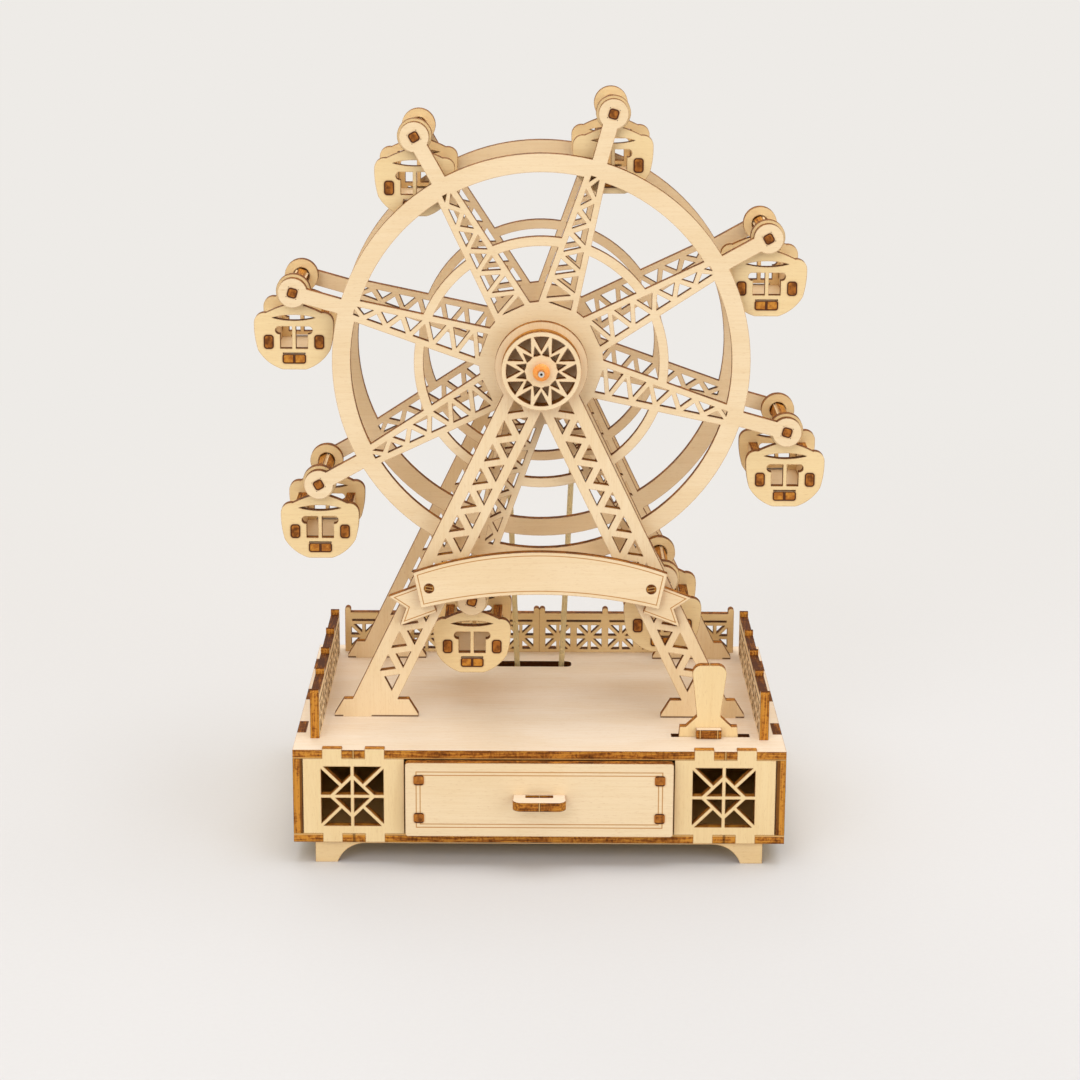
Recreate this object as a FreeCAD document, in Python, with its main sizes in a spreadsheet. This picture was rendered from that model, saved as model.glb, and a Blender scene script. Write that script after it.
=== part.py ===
"""Ferris wheel kit of laser-cut plywood, driven by a hand crank through a belt.

Frame: X to the right, Y to the back, Z up, millimetres. The origin lies on the table, under the
middle of the whole toy. Every plate is one PartDesign body: a sketch on one of its own planes and
a pad of the sheet's thickness. The sketches are drawn about a natural centre of the piece (hub,
pin or window) and the body's placement, bound to the sheet, puts it where it belongs.
"""
import FreeCAD, Part
import math
import os
import Sketcher
from FreeCAD import Placement, Rotation, Vector

# Driving dimensions, in millimetres and degrees. Depths named *_y run back from the deck's front edge.
SIZES = {
    # stock
    "ply": 3.0,
    "rod_radius": 1.0,
    "strip_width": 3.6,
    "strip_width_inside": 4.4,
    "bearing_gap": 0.05,
    "end_play": 0.2,
    # base box
    "front_y": -65.0,
    "base_width": 162.0,
    "base_depth": 120.0,
    "foot_height": 7.5,
    "wall_height": 26.0,
    "side_tab_width": 12.0,
    "side_tab_pitch": 36.0,
    "back_tab_pitch": 54.0,
    "front_tab_width": 6.4,
    "front_tab_offset": 7.0,
    "tab_proud": 0.4,
    "lattice_inner_x": 44.5,
    "lattice_gap": 0.3,
    "window_half": 10.3,
    "window_bar": 1.1,
    "diamond_half": 7.75,
    "window_shift": 0.4,
    "bearing_wall_y": 84.0,
    "foot_rail_y": 1.5,
    "foot_rail_half": 74.0,
    "foot_rail_tab": 27.0,
    "foot_width": 7.3,
    "cove_reach": 9.1,
    "cove_height": 6.6,
    # fences
    "fence_height": 16.8,
    "fence_rail_height": 14.8,
    "side_fence_pitch": 12.0,
    "back_fence_pitch": 11.5,
    "fence_post": 2.1,
    "fence_square": 9.1,
    "fence_square_centre": 5.75,
    "fence_bar": 1.2,
    "fence_slot_height": 0.7,
    "fence_slot_centre": 11.9,
    "fence_slot_inset": 0.5,
    "side_fence_x": 73.0,
    "side_fence_y": 12.0,
    "back_fence_y": 112.0,
    "fence_tab": 8.0,
    # A-frames
    "hub_height": 160.2,
    "head_radius": 15.4,
    "front_frame_y": 35.5,
    "rear_frame_y": 103.9,
    "foot_centre": 55.4,
    "foot_block_height": 6.2,
    "foot_block_half": 14.2,
    "foot_block_top_half": 11.0,
    "foot_block_sill": 0.9,
    "leg_outer_x": 63.4,
    "leg_inner_x": 48.2,
    "leg_outer_slope": 0.483,
    "leg_inner_top": 106.0,
    "frame_tab_centre": 61.9,
    "frame_tab_width": 9.8,
    "truss_start": 8.1,
    "truss_pitch": 8.1,
    "truss_rise": 5.8,
    "truss_tilt": 0.8,
    "truss_lift": 1.1,
    "truss_bands": 12,
    "truss_rail": 4.5,
    "truss_base": 5.3,
    "truss_reach": 11.8,
    # wheel
    "rest_angle": 15.7,
    "spokes": 8,
    "front_disc_y": 43.7,
    "rear_disc_y": 84.3,
    "rim_outer": 69.5,
    "rim_inner": 63.4,
    "ring_outer": 42.3,
    "ring_inner": 39.2,
    "hub_radius": 20.7,
    "pin_circle": 85.5,
    "arm_width": 5.0,
    "eye_radius": 4.9,
    "spoke_half_at_rim": 3.6,
    "spoke_spread": 0.0696,
    "spoke_rail": 2.1,
    "spoke_pitch": 8.1,
    "spoke_first": 60.9,
    "spoke_triangle": 5.7,
    "spoke_web": 1.1,
    "spoke_overrun": 0.9,
    "strut_radius": 12.0,
    "strut_width": 8.0,
    "strut_tab": 5.0,
    # axle, pulleys, belt
    "axle_front_y": 24.2,
    "axle_rear_y": 112.3,
    "cap_radius": 2.9,
    "cap_length": 3.0,
    "cap_gap": 0.3,
    "spacer_radius": 2.5,
    "belt_y": 97.1,
    "belt_radius": 1.0,
    "belt_gap": 0.3,
    "driven_core": 11.9,
    "driven_flange": 15.2,
    "drive_core": 6.0,
    "drive_flange": 9.6,
    "belt_slot_left": -16.0,
    "belt_slot_right": 11.5,
    "belt_slot_width": 6.6,
    "belt_slot_corner": 2.0,
    # rosette
    "rosette_radius": 13.1,
    "rosette_ring_inner": 11.6,
    "star_points": 12,
    "notch_half_angle": 12.5,
    "notch_floor": 6.7,
    "dart_tip": 8.6,
    "dart_side": 5.5,
    "dart_root": 5.2,
    "dart_half_angle": 13.0,
    # banner
    "banner_half_top": 42.4,
    "banner_half_bottom": 39.8,
    "banner_top": 99.0,
    "banner_top_sag": 7.3,
    "banner_bottom": 84.4,
    "banner_bottom_sag": 4.9,
    "banner_pin_x": 37.1,
    "banner_pin_z": 86.4,
    "banner_pin_radius": 1.7,
    # gondola
    "gondola_gap": 0.8,
    "gondola_eye": 5.7,
    "gondola_hole": 2.9,
    "gondola_wall_x": 8.4,
    "gondola_wall_top": -11.5,
    "gondola_side_tab": 4.5,
    "gondola_side_tab_z": -17.05,
    "gondola_floor_z": -24.2,
    "gondola_floor_tab": 7.6,
    "gondola_floor_slack": 0.65,
    # crank
    "crank_z": 23.5,
    "crank_axle_front_y": 82.0,
    "crank_arm_y": 121.5,
    "crank_throw": 15.0,
    "crank_eye": 5.5,
    "knob_radius": 4.5,
    "knob_length": 12.6,
    "knob_waist": 3.2,
    "knob_collar": 2.5,
    "knob_chamfer": 1.0,
    "crank_pin_end_y": 141.0,
    "knob_cap_length": 2.0,
    "pin_end": 0.5,
    # drawer
    "drawer_half": 44.0,
    "drawer_bottom": 10.8,
    "drawer_height": 25.4,
    "drawer_depth": 72.0,
    "drawer_corner": 1.0,
    "drawer_clearance": 0.4,
    "drawer_side_x": 38.05,
    "drawer_side_height": 22.0,
    "drawer_floor_z": 12.3,
    "drawer_tab": 3.2,
    "drawer_back_tab": 6.0,
    "drawer_floor_tab": 21.6,
    "drawer_tab_low": 17.15,
    "drawer_tab_high": 30.25,
    "pull_half": 8.5,
    "pull_reach": 8.0,
    "pull_z": 22.4,
    "pull_shoulder": 3.0,
    "pull_corner": 1.0,
    "pull_slot_half": 4.5,
    "pull_slot_front": -3.0,
    "pull_slot_back": -0.6,
    # stop lever
    "lever_x": 56.25,
    "lever_y": 15.3,
    "lever_foot_half": 9.85,
    "lever_head_half": 5.6,
    "lever_neck_half": 3.9,
    "lever_shoulder": 3.5,
    "lever_slot_left": 43.9,
    "lever_slot_right": 70.0,
    "lever_slot_width": 3.4,
    "lever_top": 24.8,
    "lever_hook": 8.0,
    "lever_hook_root": 6.0,
    "lever_gap": 0.3,
    "lever_crown": 2.6,
    "lever_crown_drop": 3.2,
    "lever_cove": 2.3,
    "wedge_width": 8.3,
    "wedge_front": 2.7,
    "wedge_lift": 0.2,
    "wedge_taper": 0.6,
}

doc = FreeCAD.newDocument("FerrisWheelKit")
sheet = doc.addObject("Spreadsheet::Sheet", "Sizes")
for row, (alias, number) in enumerate(SIZES.items(), start=1):
    sheet.set("A%d" % row, alias)
    sheet.set("B%d" % row, str(number))
    sheet.setAlias("B%d" % row, alias)
doc.recompute()


def size(alias):
    """The number in the sheet's cell of that alias."""
    return float(sheet.get(alias))


PLY = size("ply")
HALF_BASE = size("base_width") / 2
DECK_TOP = size("foot_height") + size("wall_height") + 2 * PLY
FLOOR_TOP = size("foot_height") + PLY
DECK_TOP_CELLS = "Sizes.foot_height + Sizes.wall_height + 2 * Sizes.ply"
FLOOR_TOP_CELLS = "Sizes.foot_height + Sizes.ply"
DISC_GAP = size("rear_disc_y") - size("front_disc_y") - PLY
SPOKE_STEP = 360.0 / size("spokes")
SIDE_SQUARES = 8
BACK_SQUARES = 6
FLANGE_STARTS = (("front", "Sizes.belt_y - 1.5 * Sizes.ply"), ("rear", "Sizes.belt_y + Sizes.ply / 2"))
ROUNDING = 1 - math.sqrt(0.5)  # how far in a corner's arc passes, as a share of its radius
NODES = []


# ---------------------------------------------------------------- drawing helpers

def point(x, y):
    return Vector(x, y, 0)


def line(x1, y1, x2, y2):
    return Part.LineSegment(point(x1, y1), point(x2, y2))


def circle(x, y, radius):
    return Part.Circle(point(x, y), Vector(0, 0, 1), radius)


def polygon(points):
    """Closed run of straight edges through (x, y) points."""
    edges = []
    for here, there in zip(points, points[1:] + points[:1]):
        edges.append(line(here[0], here[1], there[0], there[1]))
    return edges


def rectangle(x1, y1, x2, y2):
    return polygon([(x1, y1), (x2, y1), (x2, y2), (x1, y2)])


def path(start, steps):
    """Open run of edges. A step (x, y) is a straight edge, (via x, via y, x, y) is an arc."""
    edges = []
    here = start
    for step in steps:
        there = step[-2:]
        if len(step) == 2:
            edges.append(line(here[0], here[1], there[0], there[1]))
        else:
            edges.append(Part.Arc(point(*here), point(step[0], step[1]), point(*there)))
        here = there
    return edges


def mirror_steps(start, steps):
    """The same run reflected in the upright axis."""
    flipped = []
    for step in steps:
        flipped.append(tuple(-value if index % 2 == 0 else value for index, value in enumerate(step)))
    return (-start[0], start[1]), flipped


def both_sides(start, steps):
    """A run from axis to axis and its mirror image, which close one outline together."""
    return path(start, steps) + path(*mirror_steps(start, steps))


def tabbed_panel(left, right, low, high, tabs, tab_width, up=None, down=None):
    """Rectangle with tabs centred at the given places on its top and bottom edges."""
    up = PLY if up is None else up
    down = PLY if down is None else down
    half = tab_width / 2
    points = [(left, low)]
    for centre in sorted(tabs):
        points += [(centre - half, low), (centre - half, low - down)]
        points += [(centre + half, low - down), (centre + half, low)]
    points += [(right, low), (right, high)]
    for centre in sorted(tabs, reverse=True):
        points += [(centre + half, high), (centre + half, high + up)]
        points += [(centre - half, high + up), (centre - half, high)]
    points.append((left, high))
    return polygon(points)


def polar(radius, degrees):
    """Point at a clockwise angle from straight up."""
    angle = math.radians(degrees)
    return radius * math.sin(angle), radius * math.cos(angle)


# ---------------------------------------------------------------- feature helpers

def new_body(label):
    body = doc.addObject("PartDesign::Body", label)
    body.Label = label
    return body


def origin_plane(body, role):
    for feature in body.Origin.OriginFeatures:
        if feature.Role == role:
            return feature
    raise RuntimeError("no plane " + role)


def sketch_on(body, role, name, edges):
    sketch = body.newObject("Sketcher::SketchObject", name)
    sketch.AttachmentSupport = [(origin_plane(body, role), "")]
    sketch.MapMode = "FlatFace"
    sketch.addGeometry(edges, False)
    return sketch


def place(body, x="0", y="0", z="0"):
    """Bind the body's position to the sheet."""
    body.setExpression("Placement.Base.x", x)
    body.setExpression("Placement.Base.y", y)
    body.setExpression("Placement.Base.z", z)
    return body


def depth(cells):
    """Expression for a place that far behind the deck's front edge."""
    return "Sizes.front_y + " + cells


def keep(body):
    NODES.append(body)
    return body


def pad(body, role, name, edges, length="Sizes.ply", midplane=False):
    """Pad towards +X, +Y or +Z from the body's own plane, or evenly to both sides."""
    feature = body.newObject("PartDesign::Pad", name)
    feature.Profile = sketch_on(body, role, name + "_sketch", edges)
    feature.setExpression("Length", length)
    feature.Midplane = midplane
    feature.Reversed = role == "XZ_Plane" and not midplane
    body.Tip = feature
    doc.recompute()
    return feature


def cut(body, role, name, edges):
    """Cut the drawn shapes right through the body, and check that they took material away."""
    before = body.Shape.Volume
    feature = body.newObject("PartDesign::Pocket", name)
    feature.Profile = sketch_on(body, role, name + "_sketch", edges)
    feature.Type = "ThroughAll"
    feature.Midplane = True
    body.Tip = feature
    doc.recompute()
    if not body.Shape.Volume < before - 0.01:
        raise RuntimeError("%s: %s cuts nothing" % (body.Label, name))
    return feature


def repeat_round(body, feature, name, count):
    """Repeat a feature evenly round the axis through the origin of its own sketch."""
    pattern = body.newObject("PartDesign::PolarPattern", name)
    pattern.Originals = [feature]
    pattern.Axis = (feature.Profile[0], ["N_Axis"])
    pattern.Angle = 360
    pattern.setExpression("Occurrences", count)
    body.Tip = pattern
    doc.recompute()
    return pattern


def repeat_along(body, feature, name, step, count):
    """Repeat a feature in a row along its sketch's first axis."""
    pattern = body.newObject("PartDesign::LinearPattern", name)
    pattern.Originals = [feature]
    pattern.Direction = (feature.Profile[0], ["H_Axis"])
    pattern.Length = step * (count - 1)
    pattern.Occurrences = count
    body.Tip = pattern
    doc.recompute()
    return pattern


def plate(label, role, edges, x="0", y="0", z="0", length="Sizes.ply"):
    """One flat piece of the kit: outline sketch, pad, placement."""
    body = new_body(label)
    pad(body, role, label + "_pad", edges, length)
    place(body, x, y, z)
    return keep(body)


def rod(label, radius, length, x="0", y="0", z="0", bore=None):
    """Round bar, or tube when a bore is given, running back along +Y. Its radii follow the sheet."""
    body = new_body(label)
    radii = [radius] if bore is None else [radius, bore]
    edges = [circle(0, 0, size(alias)) for alias in radii]
    feature = pad(body, "XZ_Plane", label + "_pad", edges, length)
    sketch = feature.Profile[0]
    for index, alias in enumerate(radii):
        constraint = sketch.addConstraint(Sketcher.Constraint("Radius", index, size(alias)))
        sketch.setExpression("Constraints[%d]" % constraint, "Sizes." + alias)
    doc.recompute()
    return place(body, x, y, z)


def group(label, members, placement=None):
    """Separate solids that share one named node."""
    compound = doc.addObject("Part::Compound", label)
    compound.Label = label
    compound.Links = members
    if placement:
        compound.Placement = placement
    return keep(compound)


# ---------------------------------------------------------------- base box

def side_tab_places():
    middle = size("base_depth") / 2
    return [middle + step * size("side_tab_pitch") for step in (-1, 0, 1)]


def back_tab_places():
    return [step * size("back_tab_pitch") for step in (-1, 0, 1)]


def lattice_centre_x():
    return (size("lattice_inner_x") + HALF_BASE - PLY - size("lattice_gap")) / 2


def front_tab_places():
    """Centres of the lattice panels' tabs along the front edge, on both sides."""
    middle = lattice_centre_x()
    offset = size("front_tab_offset")
    right = [middle - offset, middle + offset]
    return [-x for x in right] + right


def lid_outline():
    """Deck or floor: rectangle with a notch wherever a wall's tab comes through its edge."""
    back = size("base_depth")
    half_front = size("front_tab_width") / 2
    half_side = size("side_tab_width") / 2
    points = [(-HALF_BASE, 0)]
    for x in sorted(front_tab_places()):
        points += [(x - half_front, 0), (x - half_front, PLY), (x + half_front, PLY), (x + half_front, 0)]
    points.append((HALF_BASE, 0))
    for y in side_tab_places():
        inner = HALF_BASE - PLY
        points += [(HALF_BASE, y - half_side), (inner, y - half_side)]
        points += [(inner, y + half_side), (HALF_BASE, y + half_side)]
    points.append((HALF_BASE, back))
    for x in reversed(back_tab_places()):
        points += [(x + half_side, back), (x + half_side, back - PLY)]
        points += [(x - half_side, back - PLY), (x - half_side, back)]
    points.append((-HALF_BASE, back))
    for y in reversed(side_tab_places()):
        inner = PLY - HALF_BASE
        points += [(-HALF_BASE, y + half_side), (inner, y + half_side)]
        points += [(inner, y - half_side), (-HALF_BASE, y - half_side)]
    return polygon(points)


def slot(x, y, width, deep):
    """Rectangular slot centred at x, starting at y."""
    return rectangle(x - width / 2, y, x + width / 2, y + deep)


def fence_tabs(squares, pitch):
    """Places of a fence's two tabs, measured from the start of its first post."""
    length = squares * pitch + size("fence_post")
    return [length * share for share in (0.25, 0.75)]


def side_fence_tabs():
    return fence_tabs(SIDE_SQUARES, size("side_fence_pitch"))


def back_fence_tabs():
    return fence_tabs(BACK_SQUARES, size("back_fence_pitch"))


def rounded_rectangle(x1, y1, x2, y2, radius):
    """Closed run with the same round at all four corners."""
    cut_in = radius * ROUNDING
    steps = [(x2 - radius, y1), (x2 - cut_in, y1 + cut_in, x2, y1 + radius),
             (x2, y2 - radius), (x2 - cut_in, y2 - cut_in, x2 - radius, y2),
             (x1 + radius, y2), (x1 + cut_in, y2 - cut_in, x1, y2 - radius),
             (x1, y1 + radius), (x1 + cut_in, y1 + cut_in, x1 + radius, y1)]
    return path((x1 + radius, y1), steps)


def make_deck():
    deck = plate("deck", "XY_Plane", lid_outline(), "0", depth("0"), DECK_TOP_CELLS + " - Sizes.ply")
    slots = []
    for side in (-1, 1):
        for y in ("front_frame_y", "rear_frame_y"):
            slots += slot(side * size("frame_tab_centre"), size(y), size("frame_tab_width"), PLY)
        fence_x = size("side_fence_x") + PLY / 2
        for along in side_fence_tabs():
            y = size("side_fence_y") + along - size("fence_tab") / 2
            slots += slot(side * fence_x, y, PLY, size("fence_tab"))
        for along in back_fence_tabs():
            slots += slot(side * along, size("back_fence_y"), size("fence_tab"), PLY)
    cut(deck, "XY_Plane", "deck_joint_slots", slots)
    lever_gap = (size("lever_slot_width") - PLY) / 2
    lever_low = size("lever_y") - lever_gap
    lever_slot = rectangle(size("lever_slot_left"), lever_low,
                           size("lever_slot_right"), lever_low + size("lever_slot_width"))
    cut(deck, "XY_Plane", "deck_lever_slot", lever_slot)
    half_slot = size("belt_slot_width") / 2
    belt_slot = rounded_rectangle(size("belt_slot_left"), size("belt_y") - half_slot,
                                  size("belt_slot_right"), size("belt_y") + half_slot,
                                  size("belt_slot_corner"))
    cut(deck, "XY_Plane", "deck_belt_slot", belt_slot)


def make_floor_panel():
    floor = plate("floor_panel", "XY_Plane", lid_outline(), "0", depth("0"), "Sizes.foot_height")
    slots = []
    for side in (-1, 1):
        for y in rail_depths():
            slots += slot(side * size("foot_rail_tab"), y, size("side_tab_width"), PLY)
    cut(floor, "XY_Plane", "floor_rail_slots", slots)


def make_side_panels():
    outline = tabbed_panel(0, size("base_depth"), 0, size("wall_height"), side_tab_places(),
                           size("side_tab_width"))
    for label, x in (("left_side_panel", "-Sizes.base_width / 2"),
                     ("right_side_panel", "Sizes.base_width / 2 - Sizes.ply")):
        plate(label, "YZ_Plane", outline, x, depth("0"), FLOOR_TOP_CELLS)


def crank_height():
    """Height of the crank's axis over the box's floor."""
    return size("crank_z") - FLOOR_TOP


def bearing_radius():
    """Hole that the cross-lapped strip axle turns in: it touches the strips' corners."""
    return math.hypot(size("strip_width") / 2, PLY / 2) + 2 * size("bearing_gap")


def make_back_panel():
    half = HALF_BASE - PLY
    outline = tabbed_panel(-half, half, 0, size("wall_height"), back_tab_places(), size("side_tab_width"))
    panel = plate("back_panel", "XZ_Plane", outline, "0", depth("Sizes.base_depth - Sizes.ply"),
                  FLOOR_TOP_CELLS)
    cut(panel, "XZ_Plane", "back_bearing_hole", [circle(0, crank_height(), bearing_radius())])


def make_bearing_wall():
    """Inner wall right across the box. It carries the crank axle's front end and stops the drawer."""
    half = HALF_BASE - PLY
    wall = plate("bearing_wall", "XZ_Plane", rectangle(-half, 0, half, size("wall_height")), "0",
                 depth("Sizes.bearing_wall_y"), FLOOR_TOP_CELLS)
    cut(wall, "XZ_Plane", "wall_bearing_hole", [circle(0, crank_height(), bearing_radius())])


def make_partitions():
    """Walls beside the drawer, from the lattice panels back to the bearing wall."""
    outline = rectangle(PLY, 0, size("bearing_wall_y"), size("wall_height"))
    for label, x in (("left_partition", "-Sizes.lattice_inner_x - Sizes.ply"),
                     ("right_partition", "Sizes.lattice_inner_x")):
        plate(label, "YZ_Plane", outline, x, depth("0"), FLOOR_TOP_CELLS)


def lattice_window_quarter(half, bar, diamond):
    """Openings in a quarter of a window crossed by an upright, a level bar, a diamond and diagonals."""
    near = bar / 2
    slant = bar * math.sqrt(2)
    inner = diamond - slant
    lean = slant / 2
    triangle = [(near, near), (inner - near, near), (near, inner - near)]
    low = [(diamond - near, near), (half, near), (half, half - lean),
           ((diamond + lean) / 2, (diamond - lean) / 2)]
    high = [(z, x) for x, z in reversed(low)]
    return polygon(triangle) + polygon(low) + polygon(high)


def make_lattice_panels():
    """Two panels cut to one pattern, drawn about the window, which sits a little left of the middle."""
    half_width = lattice_centre_x() - size("lattice_inner_x")
    half_height = size("wall_height") / 2
    shift = size("window_shift")
    tabs = [shift - size("front_tab_offset"), shift + size("front_tab_offset")]
    outline = tabbed_panel(shift - half_width, shift + half_width, -half_height, half_height, tabs,
                           size("front_tab_width"), PLY + size("tab_proud"))
    centre = "(Sizes.lattice_inner_x + Sizes.base_width / 2 - Sizes.ply - Sizes.lattice_gap) / 2"
    height = FLOOR_TOP_CELLS + " + Sizes.wall_height / 2"
    for label, sign in (("left_lattice_panel", "-"), ("right_lattice_panel", "")):
        panel = plate(label, "XZ_Plane", outline, sign + centre + " - Sizes.window_shift", depth("0"), height)
        quarter = lattice_window_quarter(size("window_half"), size("window_bar"), size("diamond_half"))
        feature = cut(panel, "XZ_Plane", label + "_window_quarter", quarter)
        repeat_round(panel, feature, label + "_window", "4")


def rail_depths():
    """Front faces of the two foot rails, behind the deck's front edge."""
    front = size("foot_rail_y")
    return [front, size("base_depth") - front - PLY]


def make_foot_rails():
    """Two rails under the floor. Each stands on a foot at both ends, with a cove beside the foot."""
    half = size("foot_rail_half")
    height = size("foot_height")
    foot = half - size("foot_width")
    reach = size("cove_reach")
    cove = size("cove_height")
    radius = (reach ** 2 + cove ** 2) / (2 * cove)
    via_x, via_z = polar(radius, math.degrees(math.asin(reach / radius)) / 2)
    tab_low = size("foot_rail_tab") - size("side_tab_width") / 2
    tab_high = tab_low + size("side_tab_width")
    steps = [(tab_low, height), (tab_low, height + PLY), (tab_high, height + PLY), (tab_high, height),
             (half, height), (half, 0), (foot, 0),
             (foot - reach + via_x, cove - radius + via_z, foot - reach, cove), (0, cove)]
    for name, y in zip(("front", "rear"), rail_depths()):
        body = new_body(name + "_foot_rail")
        pad(body, "XZ_Plane", name + "_foot_rail_pad", both_sides((0, height), steps))
        place(body, "0", depth(str(y)), "0")
        keep(body)


# ---------------------------------------------------------------- fences

def fence_outline(squares, pitch, tabs):
    """Rail panel with a round-topped post at both ends and after every second square."""
    post = size("fence_post")
    rail = size("fence_rail_height")
    top = size("fence_height")
    crown = top - post / 2
    half_tab = size("fence_tab") / 2
    steps = []
    for index in range(squares // 2 + 1):
        left = 2 * index * pitch
        if index:
            steps.append((left, rail))
        steps.append((left, crown))
        steps.append((left + post / 2, top, left + post, crown))
        if index < squares // 2:
            steps.append((left + post, rail))
    length = squares * pitch + post
    steps.append((length, 0))
    for along in reversed(tabs):
        steps += [(along + half_tab, 0), (along + half_tab, -PLY)]
        steps += [(along - half_tab, -PLY), (along - half_tab, 0)]
    steps.append((0, 0))
    steps.append(steps[0])
    return path(steps[0], steps[1:])


def star_square(centre_x, centre_z):
    """Eight triangles: a square crossed by an upright, a level and two diagonal bars."""
    near = size("fence_bar") / 2
    half = size("fence_square") / 2
    lean = size("fence_bar") / math.sqrt(2)
    edges = []
    for across in (-1, 1):
        for up in (-1, 1):
            flat = [(near + lean, near), (half, near), (half, half - lean)]
            tall = [(z, x) for x, z in flat]
            for triangle in (flat, tall):
                edges += polygon([(centre_x + across * x, centre_z + up * z) for x, z in triangle])
    return edges


def make_fence(label, role, squares, pitch, tabs, x, y):
    fence = plate(label, role, fence_outline(squares, pitch, tabs), x, y, DECK_TOP_CELLS)
    post = size("fence_post")
    first = (post + pitch) / 2
    square = cut(fence, role, label + "_square", star_square(first, size("fence_square_centre")))
    repeat_along(fence, square, label + "_squares", pitch, squares)
    low = size("fence_slot_centre") - size("fence_slot_height") / 2
    high = low + size("fence_slot_height")
    inset = size("fence_slot_inset")
    bay_slot = rectangle(post + inset, low, 2 * pitch - inset, high)
    bay = cut(fence, role, label + "_bay_slot", bay_slot)
    repeat_along(fence, bay, label + "_bay_slots", 2 * pitch, squares // 2)


def make_fences():
    side_y = depth("Sizes.side_fence_y")
    back_y = depth("Sizes.back_fence_y")
    side_pitch = size("side_fence_pitch")
    back_pitch = size("back_fence_pitch")
    for label, x in (("left_fence", "-Sizes.side_fence_x - Sizes.ply"),
                     ("right_fence", "Sizes.side_fence_x")):
        make_fence(label, "YZ_Plane", SIDE_SQUARES, side_pitch, side_fence_tabs(), x, side_y)
    left_end = "-%d * Sizes.back_fence_pitch - Sizes.fence_post" % BACK_SQUARES
    for label, x in (("back_fence_right", "0"), ("back_fence_left", left_end)):
        make_fence(label, "XZ_Plane", BACK_SQUARES, back_pitch, back_fence_tabs(), x, back_y)


# ---------------------------------------------------------------- A-frames and what they carry

def leg_outer(z):
    """Outer edge of the right leg at that height over the deck."""
    return size("leg_outer_x") - size("leg_outer_slope") * (z - size("foot_block_height"))


def head_corner():
    """Where the leg's outer edge runs into the round head."""
    hub = size("hub_height") - DECK_TOP
    slope = size("leg_outer_slope")
    a = 1 + slope ** 2
    b = -2 * slope * leg_outer(hub)
    c = leg_outer(hub) ** 2 - size("head_radius") ** 2
    rise = (-b - math.sqrt(b * b - 4 * a * c)) / (2 * a)
    return leg_outer(hub + rise), hub + rise


def a_frame_outline():
    hub = size("hub_height") - DECK_TOP
    radius = size("head_radius")
    centre = size("foot_centre")
    block = size("foot_block_height")
    half = size("foot_block_half")
    top_half = size("foot_block_top_half")
    sill = size("foot_block_sill")
    tab = size("frame_tab_centre")
    half_tab = size("frame_tab_width") / 2
    corner_x, corner_z = head_corner()
    half_turn = math.degrees(math.atan2(corner_x, corner_z - hub)) / 2
    via_x, via_z = polar(radius, half_turn)
    steps = [(via_x, hub + via_z, corner_x, corner_z),
             (size("leg_outer_x"), block), (centre + top_half, block),
             (centre + half, sill), (centre + half, 0),
             (tab + half_tab, 0), (tab + half_tab, -PLY), (tab - half_tab, -PLY), (tab - half_tab, 0),
             (centre - half, 0), (centre - half, sill), (centre - top_half, block),
             (size("leg_inner_x"), block), (0, size("leg_inner_top"))]
    return both_sides((0, hub + radius), steps)


def leg_truss():
    """Triangles that lighten both legs: in each band one stands on a base that rises towards the
    middle, and its turned-over twin hangs beside it."""
    rise = size("truss_rise")
    tilt = size("truss_tilt")
    rail = size("truss_rail")
    base = size("truss_base")
    reach = size("truss_reach")
    edges = []
    for band in range(int(size("truss_bands")) + 1):
        low = size("truss_start") + band * size("truss_pitch")
        high = low + rise
        hung_low = low + size("truss_lift")
        hung_high = hung_low + rise
        inner_high = leg_outer(hung_high) - reach
        up = [(leg_outer(low) - rail, low), (leg_outer(low) - rail - base, low + tilt),
              (leg_outer(high) - rail, high)]
        down = [(leg_outer(hung_low) - reach, hung_low), (inner_high + base, hung_high - tilt),
                (inner_high, hung_high)]
        shapes = []
        if band > 0:
            shapes.append(up)
        if band < size("truss_bands"):
            shapes.append(down)
        for shape in shapes:
            edges += polygon(shape) + polygon([(-x, z) for x, z in shape])
    return edges


def make_a_frames():
    for label, y in (("front_frame", "front_frame_y"), ("rear_frame", "rear_frame_y")):
        frame = plate(label, "XZ_Plane", a_frame_outline(), "0", depth("Sizes." + y), DECK_TOP_CELLS)
        cut(frame, "XZ_Plane", label + "_truss", leg_truss())
        hub = size("hub_height") - DECK_TOP
        bore = size("rod_radius") + size("bearing_gap")
        holes = [circle(0, hub, bore)]
        if label == "front_frame":
            for side in (-1, 1):
                pin_z = size("banner_pin_z") - DECK_TOP
                holes.append(circle(side * size("banner_pin_x"), pin_z, size("banner_pin_radius")))
        cut(frame, "XZ_Plane", label + "_holes", holes)


def banner_holes():
    return [circle(side * size("banner_pin_x"), size("banner_pin_z"), size("banner_pin_radius"))
            for side in (-1, 1)]


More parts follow.
